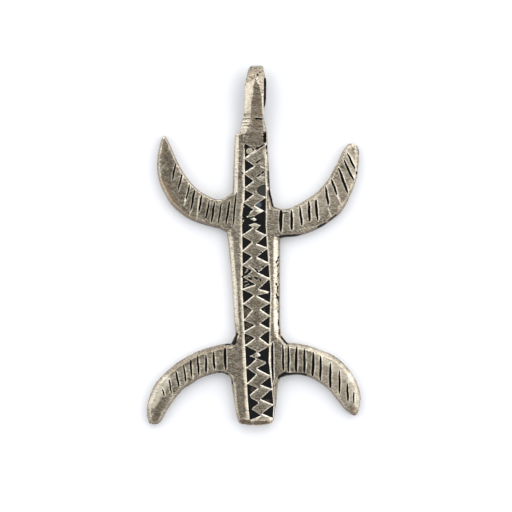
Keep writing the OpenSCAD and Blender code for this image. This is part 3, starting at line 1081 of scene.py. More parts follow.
# Ragged nicks that a coarse file left on the right bevel of the body
NICKS = (
    # x1,   y1,    x2,   y2,  width, depth
    (5.22, -2.35, 4.95, -2.95, 0.22, 0.30),
    (4.98, -3.05, 4.65, -3.60, 0.24, 0.30),
    (5.20, -3.75, 4.92, -4.45, 0.24, 0.30),
    (5.20, -5.80, 4.95, -6.60, 0.22, 0.26),
    (4.62, -7.80, 4.80, -8.35, 0.24, 0.26),
    (4.95, -8.50, 5.02, -9.20, 0.30, 0.30),
    (4.88, -9.35, 5.12, -9.80, 0.18, 0.24),
    (4.72, -10.10, 4.92, -11.20, 0.26, 0.28),
    (5.10, -10.60, 5.20, -11.80, 0.22, 0.30),
    (5.08, -13.60, 5.14, -14.00, 0.22, 0.24),
    (5.10, -15.40, 5.26, -16.90, 0.26, 0.30),
    (5.26, -17.50, 5.36, -18.70, 0.22, 0.30),
)

# Where the graver broke through between pockets, as outlines; no two of a group touch
BREAKS = (
    (
        # between the fifth and the sixth pocket on the left, then beside the seventh on the right
        ((-2.34, 6.1), (-0.7, 7.05), (-1.05, 6.3), (-1.55, 6.0), (-1.2, 5.75), (-0.4, 5.4),
         (0.05, 5.05), (-0.7, 5.1), (-2.34, 5.5)),
        ((0.0, 5.9), (0.75, 5.75), (0.55, 5.4), (0.1, 5.1), (0.25, 4.7), (0.85, 4.4), (1.45, 4.2),
         (0.95, 3.75), (0.5, 3.3), (1.45, 3.6), (2.42, 3.9), (2.46, 4.5), (2.44, 5.5), (1.25, 6.2)),
        # the rounded first pocket on the right
        ((2.4, 12.8), (1.5, 12.55), (0.9, 12.2), (0.55, 11.5), (0.9, 10.8), (1.5, 10.4), (2.35, 10.2)),
        # round the small lozenge at the legs
        ((-1.72, -22.8), (-0.3, -22.35), (0.65, -22.2), (0.0, -22.7), (-0.9, -23.1), (-0.3, -23.25),
         (0.3, -23.5), (0.35, -23.75), (-0.3, -23.7), (-1.7, -23.45)),
        # corners of lozenges that don't reach the left border
        ((-1.3, -31.1), (-0.85, -31.15), (-0.7, -31.55), (-0.55, -31.75), (-0.85, -31.9),
         (-1.26, -31.85)),
        ((-1.12, -33.85), (0.8, -32.65), (0.95, -32.95), (-0.25, -33.9), (-0.4, -34.2), (0.05, -34.45),
         (1.3, -35.25), (0.5, -35.15), (-1.06, -34.6)),
        ((-2.38, -6.2), (-0.55, -5.15), (-0.4, -5.3), (-1.45, -6.25), (-2.0, -6.45), (-2.15, -6.65),
         (-2.38, -6.7)),
    ),
    (
        ((-2.34, 4.85), (-0.7, 4.95), (0.1, 5.1), (0.25, 4.7), (-0.35, 4.5), (-1.1, 4.25), (-0.7, 4.05),
         (-0.3, 3.8), (-0.7, 3.75), (-2.34, 4.2)),
        ((0.05, 6.05), (0.95, 6.6), (1.75, 7.0), (1.85, 7.15), (2.42, 7.15), (2.42, 6.6), (1.05, 6.1)),
        ((1.0, -22.35), (1.6, -22.8), (1.05, -23.15), (0.5, -23.5), (1.5, -23.9), (2.55, -24.3),
         (2.4, -24.55), (3.1, -24.55), (3.08, -23.95), (3.0, -22.9)),
    ),
)

# What files, wear and dirt left on the face, and highlights and shade painted on it
MARKS = (
    # file ridges on the left of the loop's rising part, with painted highlights on them
    Trace(-2.45, 26.60, -0.9, 26.60, 0.34, lift=0.08, rubbed_and_highlight=0.8),
    Trace(-2.55, 25.75, -0.9, 25.80, 0.34, lift=0.10, rubbed_and_highlight=0.9),
    Trace(-2.65, 25.15, -1.0, 25.20, 0.34, lift=0.09, rubbed_and_highlight=0.9),
    Trace(-2.75, 24.40, -1.1, 24.45, 0.34, lift=0.08, rubbed_and_highlight=0.8),
    Trace(-2.85, 23.85, -1.5, 23.90, 0.34, lift=0.06, rubbed_and_highlight=0.6),
    # the loop's front: painted highlight on the left facet, painted shade on the middle, painted
    # highlight on the edge at the right, and a cap with crusts of dirt
    Zone(((-1.9, 33.6), (-0.8, 34.1), (0.2, 34.8), (-0.55, 30.6), (-2.3, 30.6)), rubbed_and_highlight=0.5, polish=0.4),
    Zone(((-0.55, 30.6), (-0.65, 27.4), (-2.5, 27.4), (-2.3, 30.6)), rubbed_and_highlight=0.5, polish=0.4),
    Zone(
        ((-1.6, 36.6), (0.0, 36.6), (0.2, 34.9), (-0.8, 34.1), (-1.9, 33.6)),
        rubbed_and_highlight=-0.4,
        dull_and_shade=0.25,
        blush=0.3,
    ),
    Zone(((0.3, 34.8), (-0.1, 32.8), (-0.55, 30.6), (1.65, 30.6), (1.25, 33.3)), rubbed_and_highlight=-0.95, dull_and_shade=0.12),
    Zone(((-0.55, 30.6), (-0.65, 27.0), (1.8, 27.0), (1.65, 30.6)), rubbed_and_highlight=-0.95, dull_and_shade=0.3, blush=0.6),
    Zone(
        ((0.45, 34.9), (2.1, 35.2), (2.0, 30.5), (1.65, 30.6), (1.25, 33.3)),
        rubbed_and_highlight=0.1,
        dull_and_shade=0.4,
        polish=0.8,
    ),
    Trace(1.75, 30.5, 1.9, 27.4, 0.3, rubbed_and_highlight=0.8),
    Trace(0.15, 34.7, -0.6, 30.6, 0.22, rubbed_and_highlight=-0.5, blush=0.3),
    Trace(0.6, 27.0, 0.6, 25.0, 2.4, dull_and_shade=0.42, rubbed_and_highlight=-0.8, blush=0.5),
    Trace(0.3, 24.5, 0.2, 21.6, 3.2, dull_and_shade=0.33, rubbed_and_highlight=-0.5, blush=0.2),
    Trace(-0.6, 36.3, 1.5, 36.1, 1.6, rubbed_and_highlight=-0.5, dull_and_shade=0.5),
    Trace(0.78, 35.4, 0.8, 35.4, 0.5, lift=0.12, dirt_and_shade=0.9),
    Trace(1.26, 35.9, 1.3, 35.95, 0.3, lift=0.08, dirt_and_shade=0.8),
    Trace(-0.6, 37.0, -0.5, 37.0, 0.35, dirt_and_shade=0.5),
    Trace(-1.72, 34.5, -1.85, 33.3, 0.3, dirt_and_shade=0.8),
    Trace(-2.0, 30.9, -2.05, 30.0, 0.25, dirt_and_shade=0.8),
    Trace(0.25, 35.95, 0.1, 35.0, 0.3, lift=0.06, dull_and_shade=0.6, dirt_and_shade=0.2),
    Trace(0.1, 35.0, -0.75, 33.9, 0.3, lift=0.06, dull_and_shade=0.6, dirt_and_shade=0.15),
    Trace(-0.75, 33.9, -1.1, 34.4, 0.25, lift=0.04, dull_and_shade=0.4),
    Trace(0.8, 35.3, 2.0, 35.3, 0.25, dull_and_shade=0.5),
    Trace(0.4, 26.65, 1.9, 26.55, 0.3, lift=0.05, rubbed_and_highlight=0.6),
    # painted highlight on a raised line above the second lozenge, a darker strip beside it, and
    # more painted highlights and darker places in the band
    Trace(2.1, 20.65, -1.4, 18.3, 0.14, lift=0.04, rubbed_and_highlight=1.0),
    Trace(-2.2, 23.0, -2.2, 21.7, 0.8, rubbed_and_highlight=-1.0, dull_and_shade=0.7),
    Trace(2.1, 19.6, 2.6, 18.4, 0.8, rubbed_and_highlight=0.7),
    Trace(0.7, 17.0, 1.9, 17.2, 0.5, rubbed_and_highlight=0.4, blush=0.5),
    Trace(1.5, 16.4, 2.1, 16.1, 0.25, lift=0.05, rubbed_and_highlight=0.9),
    Trace(0.9, 14.3, 2.0, 14.1, 0.6, lift=0.03, rubbed_and_highlight=0.7),
    Trace(0.8, 14.0, 2.1, 13.3, 0.2, lift=0.04, rubbed_and_highlight=0.8),
    Trace(-1.1, -4.2, 0.9, -5.75, 0.22, lift=0.05, rubbed_and_highlight=0.9),
    Trace(0.9, -6.3, 2.2, -6.9, 0.25, dull_and_shade=0.6),
    Trace(-1.3, 5.9, -0.3, 5.6, 0.6, rubbed_and_highlight=0.7),
    Trace(-2.55, 5.95, -2.55, 4.45, 0.4, rubbed_and_highlight=-0.6, dull_and_shade=0.3),
    Trace(0.6, 7.2, 1.6, 7.0, 0.6, rubbed_and_highlight=0.8),
    Trace(-0.7, 4.3, 1.2, 4.25, 0.7, rubbed_and_highlight=0.7),
    Trace(0.0, -23.1, 1.2, -22.8, 0.5, rubbed_and_highlight=0.5),
    Trace(0.1, 3.5, 0.4, -20.0, 1.8, dull_and_shade=0.15),
    Trace(0.7, 12.0, 0.7, 10.7, 0.6, rubbed_and_highlight=-0.8),
    Trace(1.0, -23.9, 1.3, -35.0, 3.0, dull_and_shade=0.12),
    # flats beside the band
    Trace(-3.2, 12.0, -3.4, -18.0, 1.8, rubbed_and_highlight=0.12),
    Trace(3.4, 1.0, 3.9, -18.0, 1.2, rubbed_and_highlight=0.12),
    # bevels of the body: painted highlights and painted shade, and black along the cut at the arm's root
    Trace(-3.6, 23.0, -3.75, 11.0, 0.9, rubbed_and_highlight=0.8),
    Trace(-4.75, 1.5, -3.75, -15.5, 1.1, rubbed_and_highlight=0.75),
    Trace(5.1, -3.0, 5.2, -19.0, 0.6, rubbed_and_highlight=-0.5, dull_and_shade=0.2),
    Trace(4.2, -7.5, 4.2, -19.0, 0.5, rubbed_and_highlight=-0.5, blush=0.7),
    Trace(4.5, 0.8, 4.6, -2.8, 1.1, rubbed_and_highlight=0.8),
    Trace(4.5, -2.8, 4.5, -5.4, 0.6, rubbed_and_highlight=0.6),
    Trace(4.5, -5.2, 4.6, -9.0, 0.6, rubbed_and_highlight=0.85),
    Trace(4.5, -9.0, 4.4, -11.5, 0.4, rubbed_and_highlight=0.7),
    Trace(4.4, -11.5, 4.5, -14.0, 0.7, rubbed_and_highlight=0.7),
    Trace(4.6, -14.0, 4.7, -17.5, 1.0, rubbed_and_highlight=0.85),
    Trace(4.8, -17.5, 5.0, -20.0, 0.3, rubbed_and_highlight=0.8),
    Trace(2.85, 20.8, 3.0, 12.4, 0.5, rubbed_and_highlight=-0.8, dull_and_shade=0.3, blush=0.3),
    Trace(2.95, 15.4, 3.05, 13.4, 0.3, dirt_and_shade=0.8),
    Trace(3.05, 13.4, 3.3, 12.0, 0.4, dirt_and_shade=0.9),
    Trace(3.5, 12.3, 3.65, 10.3, 0.6, dirt_and_shade=0.9),
    Trace(3.7, 10.3, 4.45, 8.1, 0.8, dirt_and_shade=0.9),
    Trace(3.0, 11.2, 3.75, 7.6, 0.8, rubbed_and_highlight=-0.9, dull_and_shade=0.7, dirt_and_shade=0.15),
    Trace(-3.9, -29.0, -3.75, -36.0, 0.5, rubbed_and_highlight=0.6),
    # black in the corners of the limbs
    Trace(-3.55, -18.4, -3.75, -19.2, 0.6, dirt_and_shade=0.95),
    Trace(-3.9, -19.2, -4.1, -20.3, 1.0, dirt_and_shade=0.95),
    Trace(-4.3, -20.3, -5.8, -20.6, 0.6, dirt_and_shade=0.9),
    Trace(5.8, -19.2, 6.9, -20.4, 0.6, dirt_and_shade=0.9),
    Trace(5.3, -27.5, 6.4, -26.7, 0.8, dirt_and_shade=0.9),
    Trace(6.4, -26.7, 10.8, -27.0, 0.6, dirt_and_shade=0.75),
    Trace(6.4, -25.6, 11.0, -26.1, 1.2, dull_and_shade=0.4, dirt_and_shade=0.12),
    Trace(-4.5, -28.7, -5.6, -26.8, 0.5, dirt_and_shade=0.8),
    Trace(-5.6, -26.8, -7.2, -26.4, 0.4, dirt_and_shade=0.6),
    Trace(5.5, 1.9, 9.8, 2.1, 0.5, dirt_and_shade=0.6),
    # lower body and tail are browner
    Trace(-3.0, -23.0, -2.6, -35.5, 2.4, dull_and_shade=0.12, blush=0.2, polish=0.3),
    Trace(4.4, -21.5, 4.2, -35.5, 2.2, dull_and_shade=0.3),
    Trace(-2.6, -36.7, 3.4, -36.8, 1.5, lift=0.12, rubbed_and_highlight=-0.9, dull_and_shade=0.5, blush=0.3),
    Trace(-2.4, -37.1, 3.0, -37.3, 0.7, dirt_and_shade=0.2),
    # limbs: worn outer rims with painted highlights, dark, rough tips, and raised lines with painted
    # highlights
    Trace(-17.4, 17.0, -18.6, 21.5, 1.6, dull_and_shade=0.5),
    Trace(-5.0, 7.5, -11.0, 8.0, 5.0, dull_and_shade=0.1),
    Trace(-11.0, 8.0, -17.0, 14.0, 5.0, dull_and_shade=0.1),
    Trace(-18.6, 18.6, -17.0, 15.4, 2.0, dull_and_shade=0.2),
    Trace(-10.4, 8.8, -10.7, 6.8, 1.0, dull_and_shade=0.35, dirt_and_shade=0.12),
    Trace(-9.2, 6.9, -8.6, 8.4, 0.9, dull_and_shade=0.3, dirt_and_shade=0.1),
    Trace(-6.2, 5.4, -6.0, 8.0, 0.8, dull_and_shade=0.3, dirt_and_shade=0.1),
    Trace(-13.4, 12.6, -14.5, 8.4, 0.32, lift=0.06, rubbed_and_highlight=0.8),
    Trace(-11.35, 10.2, -11.9, 5.3, 0.28, lift=0.05, rubbed_and_highlight=0.8),
    Trace(-13.1, 7.2, -13.4, 6.2, 0.26, lift=0.04, rubbed_and_highlight=0.7),
    Trace(-19.3, 14.0, -15.6, 7.2, 1.6, rubbed_and_highlight=-0.4, blush=0.9, polish=0.8),
    Trace(-15.6, 7.2, -11.0, 4.8, 1.2, rubbed_and_highlight=-0.4, blush=0.8, polish=0.6),
    Trace(19.5, 20.2, 21.5, 14.5, 1.8, rubbed_and_highlight=0.5, blush=0.4, polish=0.7),
    Trace(19.5, 18.8, 21.3, 15.7, 0.24, lift=0.05, rubbed_and_highlight=1.0),
    Trace(15.45, 7.8, 16.05, 6.0, 0.24, lift=0.05, rubbed_and_highlight=0.9),
    Trace(17.0, 11.2, 18.3, 8.3, 0.26, lift=0.05, rubbed_and_highlight=0.9),
    Trace(13.5, 3.85, 14.9, 4.55, 0.5, dirt_and_shade=0.9),
    Trace(15.7, 5.25, 17.2, 6.4, 0.4, dirt_and_shade=0.45),
    Trace(9.5, 3.3, 13.6, 4.1, 0.3, rubbed_and_highlight=0.5),
    Trace(6.0, 5.2, 14.0, 8.0, 5.0, rubbed_and_highlight=0.15),
    Trace(21.85, 20.6, 21.95, 19.5, 0.4, dirt_and_shade=0.8),
    Trace(21.0, 14.0, 16.0, 5.6, 2.2, rubbed_and_highlight=0.1, blush=0.6),
    Trace(8.0, 7.6, 17.6, 17.2, 0.5, rubbed_and_highlight=0.55),
    Trace(10.0, 6.0, 19.6, 13.5, 5.0, rubbed_and_highlight=0.25, blush=0.3),
    Trace(7.5, -20.9, 14.0, -22.0, 0.8, rubbed_and_highlight=0.4),
    Trace(14.0, -22.9, 20.0, -27.6, 2.4, rubbed_and_highlight=0.65, blush=0.4, polish=0.2),
    Trace(20.2, -27.2, 21.6, -33.0, 1.8, rubbed_and_highlight=0.65, blush=0.4, polish=0.2),
    Trace(14.0, -25.0, 20.0, -31.5, 4.5, rubbed_and_highlight=0.35, blush=0.4),
    Trace(20.6, -33.6, 21.3, -34.6, 1.2, dull_and_shade=0.4, blush=0.8),
    Trace(-4.6, -20.9, -9.5, -21.9, 1.3, rubbed_and_highlight=-0.8, dull_and_shade=0.35, blush=0.15, polish=0.7),
    Trace(-9.5, -21.9, -18.0, -26.8, 1.4, rubbed_and_highlight=-0.8, dull_and_shade=0.35, blush=0.2, polish=0.7),
    Trace(-8.0, -23.6, -17.0, -27.5, 2.6, rubbed_and_highlight=0.25),
    Trace(-18.2, -28.0, -21.2, -33.0, 2.2, rubbed_and_highlight=0.75),
    Trace(-19.6, -33.5, -20.8, -36.8, 1.6, dull_and_shade=0.45, dirt_and_shade=0.12),
)


# The pendant


@dataclass(frozen=True)
class Wear:
    """How dirt, wear and tarnish lie on the body.

    A pair gives where an effect sets in and where it is full. Slants are parts of a normal, from
    -1 to 1, and other sizes are in millimetres.
    """

    # slant upwards of what takes marks
    marked: Pair = (0.1, 0.4)
    # slant towards the tail of limbs' sides that get painted shade, with less painted highlight and some
    # black, and by how much
    tailward_shade_slant: Pair = (0.25, 0.7)
    tailward_shade_share: float = 0.7
    tailward_highlight_loss: float = 0.6
    tailward_black_slant: Pair = (0.5, 0.9)
    tailward_black_share: float = 0.28
    # slant downwards of sides that get painted shade, and how much
    steep_side: Pair = (-0.6, -0.1)
    steep_share: float = 0.6
    # depth from which the band's pockets are black, read that far in front of their walls
    black_depth: Pair = (0.22, 0.32)
    ahead: float = 0.15
    # bend of ridges that get wear and a painted highlight, and their share outside the band
    ridge: Pair = (0.3, 1.3)
    ridge_share: float = 0.6
    # slant of slopes in the band that get a painted highlight, and their shares towards the loop and the
    # tail
    slope: Pair = (0.05, 0.15)
    slope_shares: Pair = (0.9, 0.6)
    # how strong the painted highlight on each chamfer of a pocket is, and how smooth the one on its border
    chamfers: dict[Edge, float] = field(
        default_factory=lambda: {Edge.UPPER_OF_LOZENGE: 1.0, Edge.LOWER_OF_LOZENGE: 0.5, Edge.BORDER: 1.0}
    )
    smooth_border: float = 0.8
    # painted highlight on the lozenges' upper corners: share on each side, width and fade
    pale: dict[Side, float] = field(default_factory=lambda: {Side.LEFT: 0.15, Side.RIGHT: 0.35})
    pale_width: Pair = (0.5, 0.7)
    # warm lower corners of the lozenges: share, width and fade
    warm: tuple[float, float, float] = (0.5, 0.2, 0.4)
    # reach of the painted highlight on the rim of a cut, its share on the left and the share of a slip's
    # burr
    rim: float = 0.15
    left_rim: float = 0.75
    slip_burr: float = 0.4
    # distances inwards from the rim at which a cut and a slip get black, above this height
    line_dirt: Pair = (-0.01, 0.05)
    slip_dirt: Pair = (-0.04, 0.02)
    line_dirt_above: float = 0.8
    # silver left in the pockets: how far out of its middle, as a share, and above what height
    # it is painted, and dirt and wear with painted highlight of blocks, of this radius or more, and of
    # slivers
    remnant_share: float = 1.02
    remnant_above: float = 1.95
    remnant_dull: float = 0.15
    block_radius: float = 0.14
    block_finish: Pair = (0.1, 0.55)
    sliver_finish: Pair = (0.25, 0.3)
    # the loop's back strap is black between these places along Y, below these heights
    strap_rise: Pair = (27.5, 28.2)
    strap_fall: Pair = (34.6, 35.2)
    strap_top: Pair = (1.8, 2.4)
    strap_slant: Pair = (-0.6, -0.2)


@dataclass
class Coat:
    """What lies on each vertex of the body, from 0 to 1, under the names that the finish reads."""

    LAYERS: ClassVar[tuple[str, ...]] = ("dirt_and_shade", "rubbed_and_highlight", "dull_and_shade", "blush", "polish")

    points: np.ndarray
    normals: np.ndarray
    up: np.ndarray
    dirt_and_shade: np.ndarray = field(init=False)
    rubbed_and_highlight: np.ndarray = field(init=False)
    dull_and_shade: np.ndarray = field(init=False)
    blush: np.ndarray = field(init=False)
    polish: np.ndarray = field(init=False)

    def __post_init__(self) -> None:
        """Starts with bare metal."""
        for name in self.LAYERS:
            setattr(self, name, np.zeros(len(self.points)))

    def raise_to(self, name: str, value: np.ndarray) -> None:
        """Raises a layer to a value wherever it is less."""
        setattr(self, name, np.maximum(getattr(self, name), value))

    def take(self, mark: Mark) -> None:
        """Takes on a mark: each layer moves towards 1 by its share, and wear below 0 towards 0.

        Args:
            mark: The mark.
        """
        share = mark.share(self.points) * self.up
        room = 1 - self.rubbed_and_highlight if mark.rubbed_and_highlight > 0 else self.rubbed_and_highlight
        self.rubbed_and_highlight = self.rubbed_and_highlight + mark.rubbed_and_highlight * share * room
        self.dull_and_shade = self.dull_and_shade + mark.dull_and_shade * share * (1 - self.dull_and_shade)
        self.dirt_and_shade = self.dirt_and_shade + mark.dirt_and_shade * share * (1 - self.dirt_and_shade)
        self.raise_to("blush", mark.blush * share)
        self.raise_to("polish", mark.polish * share)

    def lay_on(self, body: bpy.types.Object) -> None:
        """Stores the layers on the body's vertices; dirt and painted shade hide wear and highlights.

        Args:
            body: The finished mesh.
        """
        self.rubbed_and_highlight = self.rubbed_and_highlight * (1 - self.dirt_and_shade)
        for name in self.LAYERS:
            paint(body, name, getattr(self, name))


@dataclass
class SilverBody:
    """The pendant's whole metal body: lizard, band, cut lines and cord loop in one piece."""

    grain: float = 0.1
    most_triangles: int = 195000
    crease: float = 55
    # height of the band's floor, and the least height of what counts as the face
    face: float = 2.38
    face_from: float = 2.0
    # depth of the pockets and of the breaks, and how far their cutters stand over the face
    pocket_depth: float = 0.87
    break_depth: float = 0.45
    over: float = 0.6
    # how far a pocket's walls stand from its filling in the solid
    wall_gap: float = 0.09
    # the band: middle and half width, and where it fades out at its foot and its head
    band_middle: float = 0.6
    band_half: float = 3.4
    band_foot: Pair = (-36.1, -35.6)
    band_head: Pair = (20.6, 21.2)
    # places along Y: where the band's borders change from the tail's width, and the neck
    narrowing: Pair = (-19, -13)
    neck: float = 20.0
    # width of the chamfer on a lozenge's upper and lower edges, at the border and at the tip
    upper_chamfer: dict[Side, Pair] = field(
        default_factory=lambda: {Side.LEFT: (0.28, 0.22), Side.RIGHT: (0.42, 0.22)}
    )
    lower_chamfer: Pair = (0.13, 0.1)
    chamfer_fall: float = 0.14
    # width of the chamfer on the border, at the tail, above it and at the neck, and its slope
    border_chamfer: dict[Side, Pair] = field(
        default_factory=lambda: {Side.LEFT: (0.52, 0.3), Side.RIGHT: (0.14, 0.12)}
    )
    neck_chamfer: float = 0.1
    border_slope: float = 0.45
    # raised border of the band: width at the tail, above it and at the neck, and height
    border: dict[Side, tuple[float, float, float, float]] = field(
        default_factory=lambda: {Side.LEFT: (0.4, 0.28, 0.3, 0.12), Side.RIGHT: (0.24, 0.2, 0.26, 0.06)}
    )
    # shares of the ridge's width at which it starts to fall and has fallen
    ridge_fall: Pair = (0.2, 0.65)
    # distances from a pocket's ends at which its ridge sets in and is full, and its share elsewhere
    ridge_ends: Pair = (-0.15, 0.4)
    ridge_between: float = 0.45
    # size and height of the hammered and filed unevenness, the height over the back at which it
    # sets in, the noise that moves nothing, and the share on the cord loop
    forging: tuple[Pair, ...] = ((3.2, 0.16), (0.9, 0.06), (0.45, 0.03))
    forged_above: Pair = (0.1, 0.5)
    forging_level: float = 0.6
    loop_forging: float = 0.4
    loop_from: Pair = (27.0, 29.0)
    # height and reach of a burr beside a cut line, and its share on the left
    burr_height: float = 0.08
    burr_reach: float = 0.17
    left_burr: float = 0.6
    # slant upwards of what is raised by burrs and marks
    raised: Pair = (0.3, 0.7)
    # how much wider than their narrow bottoms the cut lines look, where they have a full burr,
    # and how far off the middle they may be widest
    line_spread: float = 0.25
    line_lean: float = 0.3
    nick_wobble: float = 0.12
    # a bulge of the right arm's lower outline: x, y, reach and how far it goes along X and Y
    bulge: tuple[float, ...] = (18.5, 7.5, 4.5, 0.28, -0.32)
    # how far the loop's back strap stands out to the right beyond its front, and where it lies
    strap_offset: float = 0.1
    strap_rise: Pair = (28.0, 29.5)
    strap_fall: Pair = (34.0, 36.0)
    strap_top: Pair = (1.4, 2.0)
    strap_right: Pair = (0.5, 1.5)
    # how much and how far in from the outline the limbs are rounded, and where they begin
    rounding: float = 0.24
    rounded_in: float = 1.9
    rounded_above: float = 1.3
    limbs_from: Pair = (6.0, 8.0)
    # silver left standing in pockets: x, y, radius along and across, turn, top
    remnants: Rows = (
        (-0.92, 19.72, 0.72, 0.60, 40, 2.32),
        (-2.24, 8.05, 0.26, 0.17, 10, 2.36),
        (-2.22, 5.10, 0.30, 0.16, 80, 2.36),
        (-1.25, -4.95, 0.50, 0.11, 35, 2.30),
        (-1.55, -5.50, 0.55, 0.12, 40, 2.28),
        (-1.30, -7.05, 0.60, 0.13, -24, 2.32),
        (-1.70, -7.55, 0.45, 0.11, 15, 2.28),
        (-1.35, -8.15, 0.50, 0.10, 15, 2.27),
        (-1.75, -8.45, 0.30, 0.09, 20, 2.27),
    )
    wear: Wear = field(default_factory=Wear)
    relief: Relief = field(default_factory=Relief)
    lines: list[Stroke] = field(init=False)
    pockets: list[Pocket] = field(init=False)

    def build(self, node: bpy.types.Object, filling: bpy.types.Object) -> bpy.types.Object:
        """Models the body.

        Args:
            node: The CAD node that gives its main form.
            filling: The CAD node that gives the pockets' corners.

        Returns:
            The finished mesh in metres.
        """
        body = Bench.copy_of_node(node, "silver_body")
        self.pockets = Pocket.all_from(filling)
        self.lines = [self.cut_line(*row) for row in CUT_LINES]
        Bench.finish_with(body, "REMESH", mode="VOXEL", voxel_size=self.grain)
        Bench.finish_with(body, "SMOOTH", factor=0.5, iterations=2)
        self.relief.survey(points_of(body))

        self.shape_face(body)
        self.forge(body)
        self.file_edges(body)
        self.engrave(body)
        body = Bench.join([*self.leave_remnants(), body])
        Bench.finish_with(body, "TRIANGULATE")
        if len(body.data.polygons) > self.most_triangles:
            Bench.finish_with(body, "DECIMATE", ratio=self.most_triangles / len(body.data.polygons))
        self.stain(body)
        Bench.to_metres(body, self.crease)
        return body

    def cut_line(self, x1: float, y1: float, x2: float, y2: float, width: float, burr: float) -> Stroke:
        """Gives one cut line as it looks from above, each with a lean of its own, which isn't 0."""
        wide = width * (1 + self.line_spread * burr)
        return Stroke(x1, y1, x2, y2, wide, lean=self.line_lean * math.sin(7 * x1) + 0.01, burr=burr)

    def chamfer(self, pocket: Pocket, edge: Edge) -> Pair:
        """Gives how wide the chamfer is on one edge of a pocket.

        Args:
            pocket: The pocket.
            edge: The edge.

        Returns:
            The chamfer's width at the edge's two ends.
        """
        if edge is Edge.UPPER_OF_LOZENGE:
            return self.upper_chamfer[pocket.side]
        if edge is Edge.LOWER_OF_LOZENGE:
            return self.lower_chamfer
        top = pocket.corners[0][1]
        width = float(np.interp(top, self.narrowing, self.border_chamfer[pocket.side]))
        return (self.neck_chamfer if top > self.neck else width,) * 2

    def file_edges(self, body: bpy.types.Object) -> None:
        """Files a chamfer along every edge of every pocket, wide on the lozenges' upper edges.

        Args:
            body: The mesh that is cut.
        """
        over, inset = 0.3, 0.04
        for side in Side:
            for edge in Edge:
                bars = []
                for pocket in (p for p in self.pockets if p.side is side):
                    start, end, out = pocket.edge(edge, self.wall_gap - inset)
                    widths = self.chamfer(pocket, edge)
                    fall = widths[0] * self.border_slope if edge is Edge.BORDER else self.chamfer_fall
                    near, far = (out * (inset + width * (fall + over) / fall) for width in widths)
                    low, high = self.face - fall, self.face + over
                    profile = ((low, 0), (high, 0), (high, 1))
                    edges = [((*(start + near * k), z), (*(end + far * k), z)) for z, k in profile]
                    bars.append(Bench.bar(edges))
                Bench.cut(body, bars)

    def leave_remnants(self) -> list[bpy.types.Object]:
        """Models the silver that was left standing in some pockets."""
        return [
            Bench.stump((x, y, top), (along, across), 1.0, turn)
            for x, y, along, across, turn, top in self.remnants
        ]

    def border_line(self, side: Side, points: np.ndarray) -> np.ndarray:
        """Gives how much each point belongs to a border ridge.

        Args:
            side: The border.
            points: The points.

        Returns:
            1 on the ridge's crest beside a pocket, less between pockets, and 0 beside the ridge.
        """
        mine = [pocket.corners for pocket in self.pockets if pocket.side is side]
        bases = np.array([corner for corners in mine for corner in corners[:2]])
        order = np.argsort(bases[:, 1])
        y = points[:, 1]
        width = np.interp(y, (*self.narrowing, self.neck), self.border[side][:3])
        edge = np.interp(y, bases[order, 1], bases[order, 0]) + side.value * self.wall_gap
        away = np.abs(points[:, 0] - edge - side.value * width / 2)
        beside = np.zeros(len(points))
        early, late = self.ridge_ends
        for upper, lower, _ in mine:
            rise, fall = (lower[1] + early, lower[1] + late), (upper[1] - late, upper[1] - early)
            beside = np.maximum(beside, soft_stretch(y, rise, fall))
        crest = 1 - soft_step(away, width * self.ridge_fall[0], width * self.ridge_fall[1])
        ends = soft_stretch(y, self.band_foot, self.band_head)
        share = self.ridge_between + (1 - self.ridge_between) * beside
        return crest * ends * (points[:, 2] > self.face_from) * share

    def shape_face(self, body: bpy.types.Object) -> None:
        """Rounds the limbs, bulges outlines and raises burrs, border ridges and file marks.

        Args:
            body: The dense mesh.
        """
        points, normals = points_of(body), normals_of(body)
        self.round_limbs(body, points)
        self.bulge_outlines(body, points)
        height = np.zeros(len(points))
        for line in self.lines:
            away, side = line.beside(points)
            burr = self.burr_height * line.burr * np.exp(-((away / self.burr_reach) ** 2))
            height += burr * np.where(side > 0, 1.0, self.left_burr)
        for side in Side:
            height += self.border[side][3] * self.border_line(side, points)
        for mark in MARKS:
            if mark.lift:
                height += mark.lift * mark.share(points)
        push(body, spread(body, height * soft_step(normals[:, 2], *self.raised), 1))

    def round_limbs(self, body: bpy.types.Object, points: np.ndarray) -> None:
        """Lets the faces of the limbs fall off towards their outline.

        Args:
            body: The dense mesh.
            points: Its vertices.
        """
        inside = self.relief.read(self.relief.inside, points[:, :2])
        limb = soft_step(np.abs(points[:, 0]), *self.limbs_from)
        near = (1 - np.clip(inside / self.rounded_in, 0, 1)) ** 2
        drop = self.rounding * near * limb * (points[:, 2] > self.rounded_above)
        push(body, -spread(body, drop, 4), direction="Z")

    def bulge_outlines(self, body: bpy.types.Object, points: np.ndarray) -> None:
        """Moves the right arm's lower outline and the loop's back strap outwards.

        Args:
            body: The dense mesh.
            points: Its vertices, from before the limbs were rounded.
        """
        x, y, reach, along, across = self.bulge
        near = 1 - soft_step(np.hypot(points[:, 0] - x, points[:, 1] - y), 0.0, reach)
        strap = soft_stretch(points[:, 1], self.strap_rise, self.strap_fall)
        strap = strap * (1 - soft_step(points[:, 2], *self.strap_top))
        strap = strap * soft_step(points[:, 0], *self.strap_right)
        push(body, near * along + spread(body, strap, 2) * self.strap_offset, direction="X")
        push(body, near * across, direction="Y")

    def forge(self, body: bpy.types.Object) -> None:
        """Gives the surface above its flat back the unevenness of hammered and filed metal.

        Args:
            body: The dense mesh.
        """
        points = points_of(body)
        rise = soft_step(points[:, 2], *self.forged_above)
        rise = rise * (1 - (1 - self.loop_forging) * soft_step(points[:, 1], *self.loop_from))
        for size, height in self.forging:
            clouds = bpy.data.textures.new("forging", "CLOUDS")
            clouds.noise_scale = size
            push(body, rise * height, self.forging_level, texture=clouds, texture_coords="LOCAL")

